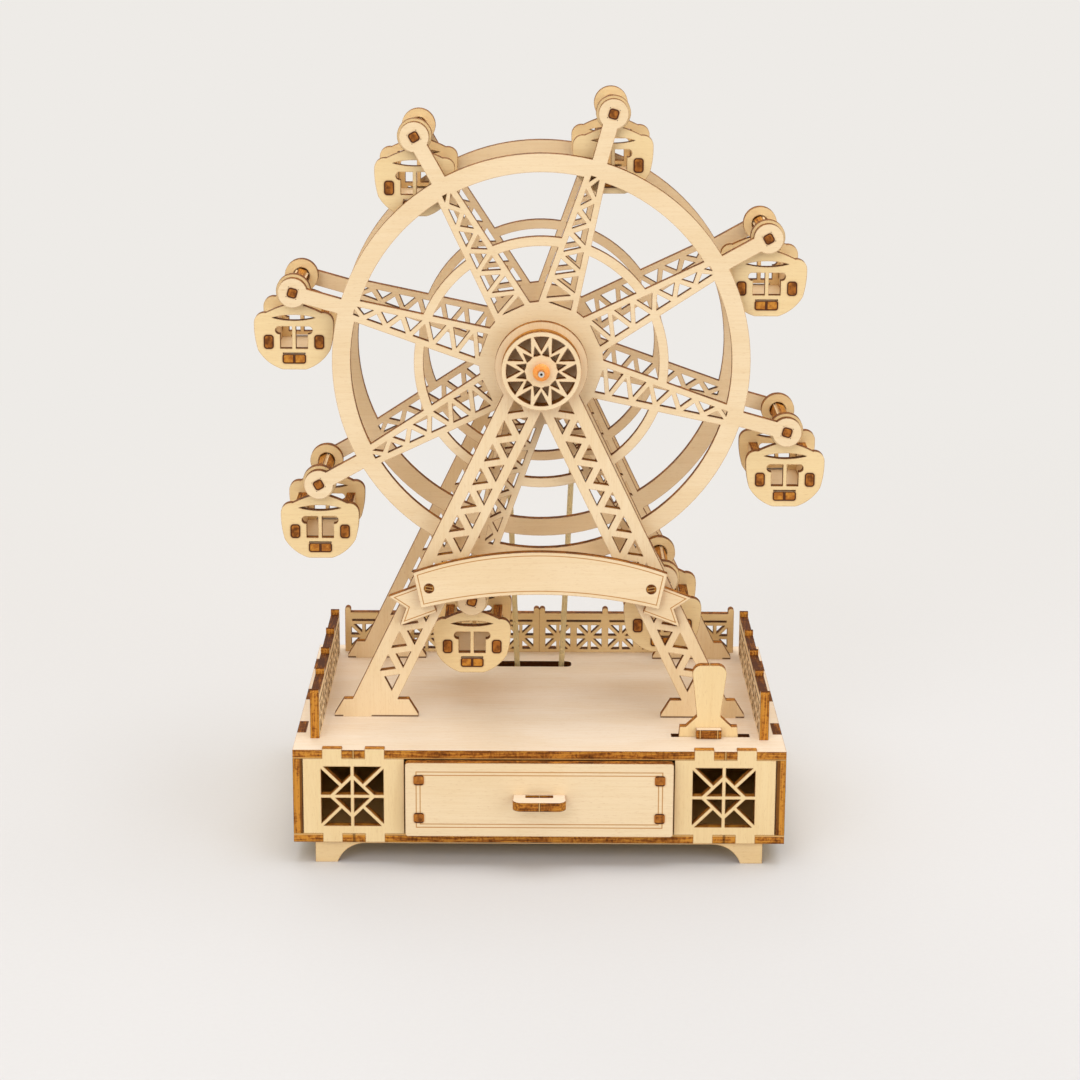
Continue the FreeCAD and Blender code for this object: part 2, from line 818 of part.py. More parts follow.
def make_banner():
    """Arched ribbon with two swallow tails behind its ends, all pinned to the front A-frame."""
    top = size("banner_top")
    bottom = size("banner_bottom")
    half_top = size("banner_half_top")
    half_bottom = size("banner_half_bottom")
    right_top = top - size("banner_top_sag")
    right_bottom = bottom - size("banner_bottom_sag")
    edges = [Part.Arc(point(-half_top, right_top), point(0, top), point(half_top, right_top)),
             line(half_top, right_top, half_bottom, right_bottom),
             Part.Arc(point(half_bottom, right_bottom), point(0, bottom), point(-half_bottom, right_bottom)),
             line(-half_bottom, right_bottom, -half_top, right_top)]
    ribbon = plate("banner", "XZ_Plane", edges, "0", depth("Sizes.front_frame_y - 2 * Sizes.ply"), "0")
    cut(ribbon, "XZ_Plane", "banner_pin_holes", banner_holes())
    inner_low = (34.7, 77.3)
    inner_high = (38.5, 87.3)
    upper_tip = (50.8, 82.6)
    notch = (44.9, 78.7)
    lower_tip = (47.0, 72.6)
    for label, side in (("banner_tail_left", -1), ("banner_tail_right", 1)):
        shape = [(side * x, z) for x, z in (inner_low, inner_high, upper_tip, notch, lower_tip)]
        body = plate(label, "XZ_Plane", polygon(shape), "0", depth("Sizes.front_frame_y - Sizes.ply"), "0")
        hole = circle(side * size("banner_pin_x"), size("banner_pin_z"), size("banner_pin_radius"))
        cut(body, "XZ_Plane", label + "_pin_hole", [hole])


def make_banner_pins():
    pins = []
    for label, sign in (("banner_pin_left", "-"), ("banner_pin_right", "")):
        pins.append(rod(label, "banner_pin_radius", "3 * Sizes.ply", sign + "Sizes.banner_pin_x",
                        depth("Sizes.front_frame_y - 2 * Sizes.ply"), "Sizes.banner_pin_z"))
    group("banner_pins", pins)


def make_rosette():
    """Star plate on a ring in front of the front head, round the axle."""
    radius = size("rosette_radius")
    inner = size("rosette_ring_inner")
    body = plate("rosette", "XZ_Plane", [circle(0, 0, radius)], "0",
                 depth("Sizes.front_frame_y - 2 * Sizes.ply"), "Sizes.hub_height")
    cut(body, "XZ_Plane", "rosette_axle_hole", [circle(0, 0, size("rod_radius") + size("cap_gap"))])
    spread = size("notch_half_angle")
    left = polar(inner, -spread)
    right = polar(inner, spread)
    notch = path(left, [polar(inner, 0) + right, polar(size("notch_floor"), 0), left])
    between = 180 / size("star_points")
    open_angle = size("dart_half_angle")
    side = size("dart_side")
    dart = polygon([polar(size("dart_tip"), between), polar(side, between - open_angle),
                    polar(size("dart_root"), between), polar(side, between + open_angle)])
    feature = cut(body, "XZ_Plane", "rosette_point", notch + dart)
    repeat_round(body, feature, "rosette_star", "Sizes.star_points")
    keep(rod("rosette_rings", "rosette_radius", "Sizes.ply", "0",
             depth("Sizes.front_frame_y - Sizes.ply"), "Sizes.hub_height", "rosette_ring_inner"))


# ---------------------------------------------------------------- wheel

def turn(place_at, degrees):
    """The (radius, sideways) place on the upright spoke, turned clockwise: x, z."""
    radius, sideways = place_at
    angle = math.radians(degrees)
    x = sideways * math.cos(angle) + radius * math.sin(angle)
    z = radius * math.cos(angle) - sideways * math.sin(angle)
    return x, z


def spoke_half(radius):
    """Half the spoke's width at that distance from the hub's centre."""
    return size("spoke_half_at_rim") + (size("rim_inner") - radius) * size("spoke_spread")


def on_circle(radius, sideways):
    """Place on a circle about the hub at that distance beside the spoke's middle line."""
    return math.sqrt(radius ** 2 - sideways ** 2), sideways


def disc_outline():
    """Rim with an arm and a round eye at the end of each spoke."""
    rim = size("rim_outer")
    half = size("arm_width") / 2
    eye = size("eye_radius")
    centre = size("pin_circle")
    foot = on_circle(rim, half)
    neck = (centre - math.sqrt(eye ** 2 - half ** 2), half)
    edges = []
    for index in range(int(size("spokes"))):
        at = index * SPOKE_STEP
        right_foot = turn(foot, at)
        right_neck = turn(neck, at)
        left_neck = turn((neck[0], -half), at)
        left_foot = turn((foot[0], -half), at)
        next_foot = turn((foot[0], -half), at + SPOKE_STEP)
        crown = turn((centre + eye, 0), at)
        middle = polar(rim, at + SPOKE_STEP / 2)
        edges += path(left_foot, [left_neck, crown + right_neck, right_foot, middle + next_foot])
    return edges


def sector_openings():
    """The two openings between one spoke and the next: outside and inside the middle ring."""
    edges = []
    for outer_name, inner_name in (("rim_inner", "ring_outer"), ("ring_inner", "hub_radius")):
        outer = size(outer_name)
        inner = size(inner_name)
        near = on_circle(outer, spoke_half(outer))
        deep = on_circle(inner, spoke_half(inner))
        start = turn(near, 0)
        across = turn((near[0], -near[1]), SPOKE_STEP)
        across_deep = turn((deep[0], -deep[1]), SPOKE_STEP)
        steps = [polar(outer, SPOKE_STEP / 2) + across, across_deep]
        if inner_name == "ring_outer":
            steps.append(polar(inner, SPOKE_STEP / 2) + turn(deep, 0))
        else:
            steps.append(turn(deep, 0))
        steps.append(start)
        edges += path(start, steps)
    return edges


def spoke_truss(first_side):
    """Triangles along one spoke, with their bases on its left and right rails in turn."""
    pitch = size("spoke_pitch")
    half_base = size("spoke_triangle") / 2
    reach = size("spoke_web")
    hole_end = size("rim_inner") + size("spoke_overrun")
    hole_start = size("hub_radius") - size("spoke_overrun")
    count = int(2 * (hole_end - hole_start) / pitch) + 1
    edges = []
    for index in range(-1, count):
        centre = size("spoke_first") - index * pitch / 2
        side = first_side if index % 2 == 0 else -first_side
        high = min(centre + half_base, hole_end)
        low = max(centre - half_base, hole_start)
        apex = min(max(centre, low), high)
        rail_high = side * (spoke_half(high) - size("spoke_rail"))
        rail_low = side * (spoke_half(low) - size("spoke_rail"))
        tip = -side * (spoke_half(apex) - size("spoke_rail") - reach)
        corners = [(high, rail_high), (low, rail_low), (apex, tip)]
        edges += polygon([turn(corner, 0) for corner in corners])
    return edges


def make_wheel_discs():
    """The rear disc is the front one turned over, so that its triangles lean the other way."""
    half_pin = size("strip_width") / 2
    centre = size("pin_circle")
    pin_hole = rectangle(-half_pin, centre - half_pin, half_pin, centre + half_pin)
    strut = size("strut_radius")
    half_tab = size("strut_tab") / 2
    for label, y, first_side in (("wheel_disc_front", "front_disc_y", 1),
                                 ("wheel_disc_rear", "rear_disc_y", -1)):
        disc = plate(label, "XZ_Plane", disc_outline())
        spoke = cut(disc, "XZ_Plane", label + "_spoke", sector_openings() + spoke_truss(first_side) + pin_hole)
        repeat_round(disc, spoke, label + "_spokes", "Sizes.spokes")
        strut_slot = rectangle(-half_tab, strut - PLY / 2, half_tab, strut + PLY / 2)
        slots = cut(disc, "XZ_Plane", label + "_strut_slot", strut_slot)
        repeat_round(disc, slots, label + "_strut_slots", "4")
        cut(disc, "XZ_Plane", label + "_axle_hole", [circle(0, 0, size("rod_radius"))])
        turned(disc)
        place(disc, "0", depth("Sizes." + y), "Sizes.hub_height")


def turned(body):
    """Turn a piece drawn with a spoke straight up to the wheel's rest angle."""
    body.Placement = Placement(Vector(), Rotation(Vector(0, 1, 0), size("rest_angle")))
    return body


def origin_axis(body, role):
    return (origin_plane(body, role), [""])


def spread_round(body, feature, name, count):
    """Repeat a loose piece round the wheel's axis. The copies stay separate solids."""
    pattern = body.newObject("PartDesign::PolarPattern", name)
    pattern.Originals = [feature]
    pattern.Axis = origin_axis(body, "Y_Axis")
    pattern.Angle = 360
    pattern.setExpression("Occurrences", count)
    body.Tip = pattern
    doc.recompute()
    return pattern


def loose_pieces(label, role, edges, offset, count):
    """Strips that lie evenly round the wheel, each padded to both sides of its own middle plane."""
    body = new_body(label)
    body.AllowCompound = True
    feature = body.newObject("PartDesign::Pad", label + "_pad")
    sketch = sketch_on(body, role, label + "_sketch", edges)
    sketch.AttachmentOffset = Placement(Vector(0, 0, offset), Rotation())
    feature.Profile = sketch
    feature.setExpression("Length", "Sizes.ply")
    feature.Midplane = True
    body.Tip = feature
    doc.recompute()
    spread_round(body, feature, label + "_round", count)
    turned(body)
    return keep(place(body, "0", depth("Sizes.front_disc_y"), "Sizes.hub_height"))


def strip_outline(length, shoulder, slot_at_start, along_first=True, centre=0.0):
    """Cross-lap strip: narrow ends, wider middle, and a slot over half its length."""
    end = size("strip_width") / 2
    wide = size("strip_width_inside") / 2 if shoulder else end
    half_slot = PLY / 2
    middle = length / 2
    near = PLY if shoulder else 0.0
    right = [(0, end), (near, end), (near, wide), (length - near, wide), (length - near, end),
             (length, end), (length, half_slot), (middle, half_slot)]
    if not shoulder:
        right = [(0, end), (length, end), (length, half_slot), (middle, half_slot)]
    points = right + [(along, -across) for along, across in reversed(right)]
    if slot_at_start:
        points = [(length - along, across) for along, across in points]
    if along_first:
        points = [(along, across + centre) for along, across in points]
    else:
        points = [(across, along) for along, across in points]
    return polygon(points)


def make_gondola_pins():
    """Eight axles of two strips, each slotted into the other, that join the discs' eyes."""
    length = DISC_GAP + 2 * PLY
    centre = size("pin_circle")
    loose_pieces("gondola_pin_strips_a", "YZ_Plane", strip_outline(length, True, False, True, centre),
                 0, "Sizes.spokes")
    loose_pieces("gondola_pin_strips_b", "XY_Plane", strip_outline(length, True, True, False),
                 centre, "Sizes.spokes")


def make_hub_struts():
    """Four struts round the axle that hold the discs apart."""
    half = size("strut_width") / 2
    half_tab = size("strut_tab") / 2
    length = DISC_GAP + 2 * PLY
    points = [(half_tab, 0), (half_tab, PLY), (half, PLY), (half, length - PLY),
              (half_tab, length - PLY), (half_tab, length)]
    points += [(-x, y) for x, y in reversed(points)]
    loose_pieces("hub_struts", "XY_Plane", polygon(points), size("strut_radius"), "4")


def make_axle():
    keep(rod("wheel_axle", "rod_radius", "Sizes.axle_rear_y - Sizes.axle_front_y", "0",
             depth("Sizes.axle_front_y"), "Sizes.hub_height"))
    front = "Sizes.front_frame_y - 2 * Sizes.ply - Sizes.cap_gap - Sizes.cap_length"
    rear = "Sizes.rear_frame_y + Sizes.ply + Sizes.cap_gap"
    for label, y in (("axle_cap_front", front), ("axle_cap_rear", rear)):
        keep(rod(label, "cap_radius", "Sizes.cap_length", "0", depth(y), "Sizes.hub_height", "rod_radius"))
    front_gap = "Sizes.front_disc_y - Sizes.front_frame_y - Sizes.ply - Sizes.end_play"
    middle_gap = "Sizes.belt_y - 1.5 * Sizes.ply - Sizes.rear_disc_y - Sizes.ply"
    rear_gap = "Sizes.rear_frame_y - Sizes.belt_y - 1.5 * Sizes.ply - Sizes.end_play"
    stretches = [("front", front_gap, "Sizes.front_frame_y + Sizes.ply + Sizes.end_play"),
                 ("middle", middle_gap, "Sizes.rear_disc_y + Sizes.ply"),
                 ("rear", rear_gap, "Sizes.belt_y + 1.5 * Sizes.ply")]
    spacers = []
    for name, length, start in stretches:
        spacers.append(rod("axle_spacer_" + name, "spacer_radius", length, "0", depth(start),
                           "Sizes.hub_height", "rod_radius"))
    group("axle_spacers", spacers)


def make_driven_pulley():
    keep(rod("driven_pulley_core", "driven_core", "Sizes.ply", "0",
             depth("Sizes.belt_y - Sizes.ply / 2"), "Sizes.hub_height", "rod_radius"))
    flanges = []
    for name, start in FLANGE_STARTS:
        flanges.append(rod("driven_flange_" + name, "driven_flange", "Sizes.ply", "0", depth(start),
                           "Sizes.hub_height", "rod_radius"))
    group("driven_pulley_flanges", flanges)


def belt_path():
    """Closed run of the belt in the upright plane, about the crank's axis: two arcs and two tangents."""
    upper = size("driven_core") + size("belt_gap") + size("belt_radius")
    lower = size("drive_core") + size("belt_gap") + size("belt_radius")
    rise = size("hub_height") - size("crank_z")
    lean = math.asin((upper - lower) / rise)
    across = math.cos(lean)
    up = -math.sin(lean)

    def at(radius, x, z, centre):
        return Vector(radius * x, 0, centre + radius * z)

    top_right = at(upper, across, up, rise)
    low_right = at(lower, across, up, 0)
    low_left = at(lower, -across, up, 0)
    top_left = at(upper, -across, up, rise)
    crown = Vector(0, 0, rise + upper)
    bottom = Vector(0, 0, -lower)
    left_half = at(upper, -math.sin(math.pi / 4), math.cos(math.pi / 4), rise)
    right_half = at(upper, math.sin(math.pi / 4), math.cos(math.pi / 4), rise)
    return [Part.Arc(crown, right_half, top_right).toShape(),
            Part.LineSegment(top_right, low_right).toShape(),
            Part.Arc(low_right, bottom, low_left).toShape(),
            Part.LineSegment(low_left, top_left).toShape(),
            Part.Arc(top_left, left_half, crown).toShape()]


def make_belt():
    """Round elastic cord, closed on itself round both pulleys."""
    edges = belt_path()
    run = Part.Wire(edges)
    crown = edges[0].Vertexes[0].Point
    radius = size("belt_radius")
    profile = Part.Wire([Part.makeCircle(radius, crown, Vector(1, 0, 0))])
    shape = run.makePipeShell([profile], True, False)
    expected = math.pi * radius ** 2 * run.Length
    if abs(shape.Volume - expected) > 0.01 * expected:
        raise RuntimeError("belt volume %.1f, expected %.1f" % (shape.Volume, expected))
    belt = doc.addObject("Part::Feature", "drive_belt")
    belt.Label = "drive_belt"
    belt.Shape = shape
    belt.Placement = Placement(Vector(0, size("front_y") + size("belt_y"), size("crank_z")), Rotation())
    return keep(belt)


# ---------------------------------------------------------------- crank

def square_hole(x, z):
    half = size("strip_width") / 2
    return rectangle(x - half, z - half, x + half, z + half)


def make_crank_axle():
    """Axle of two strips slotted into each other, from the bearing wall out through the back."""
    start = size("crank_axle_front_y")
    length = size("crank_arm_y") + PLY - start
    strips = (("crank_axle_a", "YZ_Plane", strip_outline(length, False, False, True)),
              ("crank_axle_b", "XY_Plane", strip_outline(length, False, True, False)))
    for label, role, edges in strips:
        body = new_body(label)
        pad(body, role, label + "_pad", edges, "Sizes.ply", True)
        keep(place(body, "0", depth("Sizes.crank_axle_front_y"), "Sizes.crank_z"))


def make_drive_pulley():
    core = rod("drive_pulley_core", "drive_core", "Sizes.ply", "0",
               depth("Sizes.belt_y - Sizes.ply / 2"), "Sizes.crank_z")
    cut(core, "XZ_Plane", "drive_core_hole", square_hole(0, 0))
    keep(core)
    flanges = []
    for name, start in FLANGE_STARTS:
        flange = rod("drive_flange_" + name, "drive_flange", "Sizes.ply", "0", depth(start), "Sizes.crank_z")
        cut(flange, "XZ_Plane", "drive_flange_hole_" + name, square_hole(0, 0))
        flanges.append(flange)
    group("drive_pulley_flanges", flanges)


def make_crank_arm():
    eye = size("crank_eye")
    throw = size("crank_throw")
    edges = [line(0, eye, throw, eye),
             Part.Arc(point(throw, eye), point(throw + eye, 0), point(throw, -eye)),
             line(throw, -eye, 0, -eye),
             Part.Arc(point(0, -eye), point(-eye, 0), point(0, eye))]
    arm = plate("crank_arm", "XZ_Plane", edges, "0", depth("Sizes.crank_arm_y"), "Sizes.crank_z")
    cut(arm, "XZ_Plane", "crank_arm_axle_hole", square_hole(0, 0))
    cut(arm, "XZ_Plane", "crank_arm_pin_hole", [circle(throw, 0, size("rod_radius"))])


def make_crank_knob():
    """Turned knob with a waist, free on a short pin with a cap on its end."""
    keep(rod("crank_pin", "rod_radius", "Sizes.crank_pin_end_y - Sizes.crank_arm_y", "Sizes.crank_throw",
             depth("Sizes.crank_arm_y"), "Sizes.crank_z"))
    cap_start = "Sizes.crank_pin_end_y - Sizes.pin_end - Sizes.knob_cap_length"
    keep(rod("crank_pin_cap", "cap_radius", "Sizes.knob_cap_length", "Sizes.crank_throw",
             depth(cap_start), "Sizes.crank_z", "rod_radius"))
    bore = size("rod_radius") + size("bearing_gap")
    radius = size("knob_radius")
    length = size("knob_length")
    collar = size("knob_collar")
    chamfer = size("knob_chamfer")
    body = new_body("crank_knob")
    profile = path((bore, 0), [(radius - chamfer, 0), (radius, chamfer), (radius, collar),
                               (size("knob_waist"), length / 2, radius, length - collar),
                               (radius, length - chamfer), (radius - chamfer, length),
                               (bore, length), (bore, 0)])
    feature = body.newObject("PartDesign::Revolution", "crank_knob_turned")
    feature.Profile = sketch_on(body, "XY_Plane", "crank_knob_sketch", profile)
    feature.ReferenceAxis = (feature.Profile[0], ["V_Axis"])
    feature.Angle = 360
    body.Tip = feature
    doc.recompute()
    keep(place(body, "Sizes.crank_throw", depth("Sizes.crank_arm_y + Sizes.ply + Sizes.cap_gap"),
               "Sizes.crank_z"))


# ---------------------------------------------------------------- drawer

def drawer_corner_steps(half, low, high, corner):
    lean = corner * ROUNDING
    return [(half - corner, high), (half - lean, high - lean, half, high - corner), (half, low + corner),
            (half - lean, low + lean, half - corner, low), (0, low)]


def make_drawer():
    height = size("drawer_height")
    bottom = size("drawer_bottom")
    tab = size("drawer_tab")
    side_x = size("drawer_side_x")
    deep = size("drawer_depth")
    side_height = size("drawer_side_height")
    tab_heights = [size("drawer_tab_low") - bottom, size("drawer_tab_high") - bottom]
    corner = size("drawer_corner")
    face = both_sides((0, height), drawer_corner_steps(size("drawer_half"), 0, height, corner))
    front = plate("drawer_front", "XZ_Plane", face, "0", depth("-Sizes.ply"), "Sizes.drawer_bottom")
    holes = []
    for side in (-1, 1):
        centre = side * (side_x + PLY / 2)
        for z in tab_heights:
            holes += rectangle(centre - PLY / 2, z - tab / 2, centre + PLY / 2, z + tab / 2)
    pull_half = size("pull_half") - size("pull_shoulder")
    pull_low = size("pull_z") - bottom
    holes += rectangle(-pull_half, pull_low, pull_half, pull_low + PLY)
    cut(front, "XZ_Plane", "drawer_front_slots", holes)

    low = size("drawer_floor_z") - bottom
    lift = size("drawer_clearance")
    cheek = [(0, lift), (deep, lift), (deep, side_height), (0, side_height)]
    for z in reversed(tab_heights):
        cheek += [(0, z + tab / 2), (-PLY, z + tab / 2), (-PLY, z - tab / 2), (0, z - tab / 2)]
    floor_tab_start = (deep - size("drawer_floor_tab")) / 2
    floor_tab_end = floor_tab_start + size("drawer_floor_tab")
    back_tab_low = (side_height - size("drawer_back_tab")) / 2
    back_tab_high = back_tab_low + size("drawer_back_tab")
    floor_slot = rectangle(floor_tab_start, low, floor_tab_end, low + PLY)
    back_slot = rectangle(deep - 2 * PLY, back_tab_low, deep - PLY, back_tab_high)
    for label, x in (("drawer_left", "-Sizes.drawer_side_x - Sizes.ply"),
                     ("drawer_right", "Sizes.drawer_side_x")):
        body = plate(label, "YZ_Plane", polygon(cheek), x, depth("0"), "Sizes.drawer_bottom")
        cut(body, "YZ_Plane", label + "_slots", floor_slot + back_slot)

    half_back = [(side_x, low + PLY), (side_x, back_tab_low), (side_x + PLY, back_tab_low),
                 (side_x + PLY, back_tab_high), (side_x, back_tab_high), (side_x, side_height)]
    back = half_back + [(-x, z) for x, z in reversed(half_back)]
    plate("drawer_back", "XZ_Plane", polygon(back), "0",
          depth("Sizes.drawer_depth - 2 * Sizes.ply"), "Sizes.drawer_bottom")

    half_floor = [(side_x, 0), (side_x, floor_tab_start), (side_x + PLY, floor_tab_start),
                  (side_x + PLY, floor_tab_end), (side_x, floor_tab_end), (side_x, deep - PLY)]
    floor = half_floor + [(-x, y) for x, y in reversed(half_floor)]
    plate("drawer_floor", "XY_Plane", polygon(floor), "0", depth("0"), "Sizes.drawer_floor_z")


def make_drawer_pull():
    """Half-oval finger plate with a slot, tongued through the drawer's front."""
    half = size("pull_half")
    reach = size("pull_reach")
    tongue = half - size("pull_shoulder")
    corner = size("pull_corner")
    steps = [(tongue, PLY), (tongue, 0), (half, 0), (half, -reach / 2),
             (half - corner / 2, corner - reach, half - 2 * corner, -reach), (0, -reach)]
    pull = plate("drawer_pull", "XY_Plane", both_sides((0, PLY), steps), "0", depth("-Sizes.ply"),
                 "Sizes.pull_z")
    slot_half = size("pull_slot_half")
    pull_slot = rectangle(-slot_half, size("pull_slot_front"), slot_half, size("pull_slot_back"))
    cut(pull, "XY_Plane", "drawer_pull_slot", pull_slot)


# ---------------------------------------------------------------- stop lever

def make_stop_lever():
    """Slider in the deck's slot: round-shouldered head, wide foot, and a hook under the deck.

    The left end of the foot only reaches into the slot, so that it clears the wall beside the drawer.
    """
    top = size("lever_top")
    head = size("lever_head_half")
    neck = size("lever_neck_half")
    foot = size("lever_foot_half")
    shoulder = size("lever_shoulder")
    gap = size("lever_gap")
    slide = gap - PLY
    under = -gap - PLY
    tail = under - PLY
    root = -size("lever_hook_root")
    hook = foot + size("lever_hook")
    crown = size("lever_crown")
    crown_drop = size("lever_crown_drop")
    cove = size("lever_cove")
    via = (head - ROUNDING * crown, top - ROUNDING * crown_drop)
    right = [(head - crown, top), via + (head, top - crown_drop),
             (neck, 2 * shoulder), (foot - cove, shoulder), (foot - gap, shoulder), (foot, 0)]
    steps = right + [(foot, under), (hook, under), (hook, tail), (root, tail), (root, slide),
                     (-foot, slide), (-foot, 0)]
    outline = path((0, top), steps) + path(*mirror_steps((0, top), right))
    lever = plate("stop_lever", "XZ_Plane", outline, "Sizes.lever_x", depth("Sizes.lever_y"), DECK_TOP_CELLS)
    half_wedge = size("wedge_width") / 2
    lift = size("wedge_lift")
    cut(lever, "XZ_Plane", "lever_wedge_slot", rectangle(-half_wedge, lift, half_wedge, lift + PLY))
    ahead = -size("wedge_front")
    behind = PLY + size("wedge_front")
    half_end = half_wedge - size("wedge_taper")
    wedge = [(-half_wedge, ahead), (half_wedge, ahead), (half_wedge, PLY), (half_end, behind),
             (-half_end, behind), (-half_wedge, PLY)]
    plate("lever_wedge", "XY_Plane", polygon(wedge), "Sizes.lever_x", depth("Sizes.lever_y"),
          DECK_TOP_CELLS + " + Sizes.wedge_lift")


# ---------------------------------------------------------------- gondolas

def gondola_plate_outline():
    """Round eye, arched roof with a bump at each shoulder, and a hull that narrows to a flat bottom."""
    eye = size("gondola_eye")
    neck = (3.1, -4.8)
    roof = (6.4, -6.0)
    eave = (9.2, -7.3)
    bump = (11.7, -7.8)
    shoulder = (13.2, -10.4)
    flank = (13.0, -15.0)
    hip = (12.0, -19.8)
    bilge = (8.6, -23.8)
    keel = (3.9, -26.3)
    steps = [(eye, 0) + neck, roof + eave, bump + shoulder, flank + hip, bilge + keel, (0, keel[1])]
    return both_sides((0, eye), steps)


def gondola_windows():
    """Crescent under the roof, and a window with round shoulders on each side of a mullion."""
    horn_x = 7.3
    horn_z = -8.9
    bow = 1.0
    mullion = 0.62
    pane_top = -11.8
    pane_bottom = -19.3
    pane_x = 4.6
    lobe_height = 2.6
    lobe_reach = 1.6
    crescent = [Part.Arc(point(-horn_x, horn_z), point(0, horn_z + bow), point(horn_x, horn_z)),
                Part.Arc(point(horn_x, horn_z), point(0, horn_z - bow), point(-horn_x, horn_z))]
    start = (mullion, pane_top)
    pane = [(pane_x, pane_top),
            (pane_x + lobe_reach, pane_top - lobe_height / 2, pane_x, pane_top - lobe_height),
            (pane_x, pane_bottom), (mullion, pane_bottom), start]
    return crescent + path(start, pane) + path(*mirror_steps(start, pane))


def make_gondola_pieces():
    """The five pieces of one gondola about its own pin, with y = 0 on the front disc's back face."""
    half_tab = size("gondola_side_tab") / 2
    tab_z = size("gondola_side_tab_z")
    wall = size("gondola_wall_x")
    floor = size("gondola_floor_z")
    half_floor_tab = size("gondola_floor_tab") / 2
    holes = gondola_windows()
    for side in (-1, 1):
        centre = side * wall
        holes += rectangle(centre - PLY / 2, tab_z - half_tab, centre + PLY / 2, tab_z + half_tab)
    holes += rectangle(-half_floor_tab, floor, half_floor_tab, floor + PLY + size("gondola_floor_slack"))
    holes.append(circle(0, 0, size("gondola_hole")))
    pieces = []
    for name, y in (("front", "Sizes.gondola_gap"),
                    ("rear", "Sizes.rear_disc_y - Sizes.front_disc_y - 2 * Sizes.ply - Sizes.gondola_gap")):
        body = new_body("gondola_plate_" + name)
        pad(body, "XZ_Plane", "gondola_plate_pad_" + name, gondola_plate_outline())
        cut(body, "XZ_Plane", "gondola_plate_holes_" + name, holes)
        pieces.append(place(body, "0", y, "0"))
    inside = DISC_GAP - 2 * size("gondola_gap") - 2 * PLY
    start = size("gondola_gap") + PLY
    top = size("gondola_wall_top")
    low = floor + PLY
    points = [(start, low), (start, tab_z - half_tab), (start - PLY, tab_z - half_tab),
              (start - PLY, tab_z + half_tab), (start, tab_z + half_tab), (start, top)]
    points += [(2 * start + inside - y, z) for y, z in reversed(points)]
    for name, x in (("left", "-Sizes.gondola_wall_x"), ("right", "Sizes.gondola_wall_x")):
        body = new_body("gondola_wall_" + name)
        pad(body, "YZ_Plane", "gondola_wall_pad_" + name, polygon(points), "Sizes.ply", True)
        pieces.append(place(body, x, "0", "0"))
    half = wall - PLY / 2
    points = [(half, start), (half_floor_tab, start), (half_floor_tab, start - PLY),
              (-half_floor_tab, start - PLY), (-half_floor_tab, start), (-half, start)]
    points += [(x, 2 * start + inside - y) for x, y in reversed(points)]
    body = new_body("gondola_floor")
    pad(body, "XY_Plane", "gondola_floor_pad", polygon(points))
    pieces.append(place(body, "0", "0", "Sizes.gondola_floor_z"))
    return pieces


def make_gondolas():
    """Eight gondolas hang level from the pins. Each is a group of five separate pieces."""
    pieces = make_gondola_pieces()
    hub = Vector(0, size("front_y") + size("front_disc_y") + PLY, size("hub_height"))
    for index in range(int(size("spokes"))):
        x, z = polar(size("pin_circle"), size("rest_angle") + index * SPOKE_STEP)
        group("gondola_%d" % (index + 1), pieces, Placement(hub + Vector(x, 0, z), Rotation()))


# ---------------------------------------------------------------- build, check, write

def check_document():
    doc.recompute()
    for item in doc.Objects:
        if "Invalid" in item.State or "Error" in item.State:
            raise RuntimeError("%s is in state %s" % (item.Label, item.State))
    for node in NODES:
        if node.Shape.isNull() or not node.Shape.isValid():
            raise RuntimeError(node.Label + " has no valid shape")


def write_nodes():
    os.makedirs("parts", exist_ok=True)
    for node in NODES:
        node.Shape.exportStep("parts/%s.step" % node.Label)


make_deck()
make_floor_panel()
make_side_panels()
make_back_panel()
make_bearing_wall()
make_partitions()
make_lattice_panels()
make_foot_rails()
make_fences()
make_a_frames()
make_banner()
make_banner_pins()
make_rosette()
make_wheel_discs()
make_gondola_pins()
make_hub_struts()
make_axle()
make_driven_pulley()
make_belt()
make_crank_axle()
make_drive_pulley()
make_crank_arm()
make_crank_knob()
make_drawer()
make_drawer_pull()
make_stop_lever()
make_gondolas()
check_document()
write_nodes()
print(len(NODES), "nodes,", sum(len(node.Shape.Solids) for node in NODES), "solids")
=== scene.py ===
"""Looks of the plywood ferris wheel kit: pale sheets, burnt edges, engraved lines, steel, silicone and cord.

Every plywood piece keeps its own solid and gets a material that finds the sheet's two faces and its
cut edges from the direction of the surface. Lengths are in millimetres, except that the silicone beads
and the stage around the toy are placed in metres.
"""
import math

import bmesh
import bpy
from mathutils import Matrix, Vector


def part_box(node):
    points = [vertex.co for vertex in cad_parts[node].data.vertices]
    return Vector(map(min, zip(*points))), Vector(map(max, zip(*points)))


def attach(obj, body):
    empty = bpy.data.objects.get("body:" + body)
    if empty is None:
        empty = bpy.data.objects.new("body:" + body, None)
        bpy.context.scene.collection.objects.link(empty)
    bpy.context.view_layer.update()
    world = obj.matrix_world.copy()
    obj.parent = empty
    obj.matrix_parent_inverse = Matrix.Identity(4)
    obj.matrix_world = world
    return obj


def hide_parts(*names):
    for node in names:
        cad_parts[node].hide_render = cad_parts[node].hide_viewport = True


MM = 0.001
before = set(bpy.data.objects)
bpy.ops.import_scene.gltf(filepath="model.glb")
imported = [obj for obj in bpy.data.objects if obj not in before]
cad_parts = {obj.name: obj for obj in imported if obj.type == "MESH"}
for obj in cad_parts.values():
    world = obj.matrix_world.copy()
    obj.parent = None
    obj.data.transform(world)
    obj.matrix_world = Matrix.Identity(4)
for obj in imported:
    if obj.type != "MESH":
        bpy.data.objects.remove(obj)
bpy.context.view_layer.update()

# ---------------------------------------------------------------- sizes that the finishes need

PLY_MM = 3.0

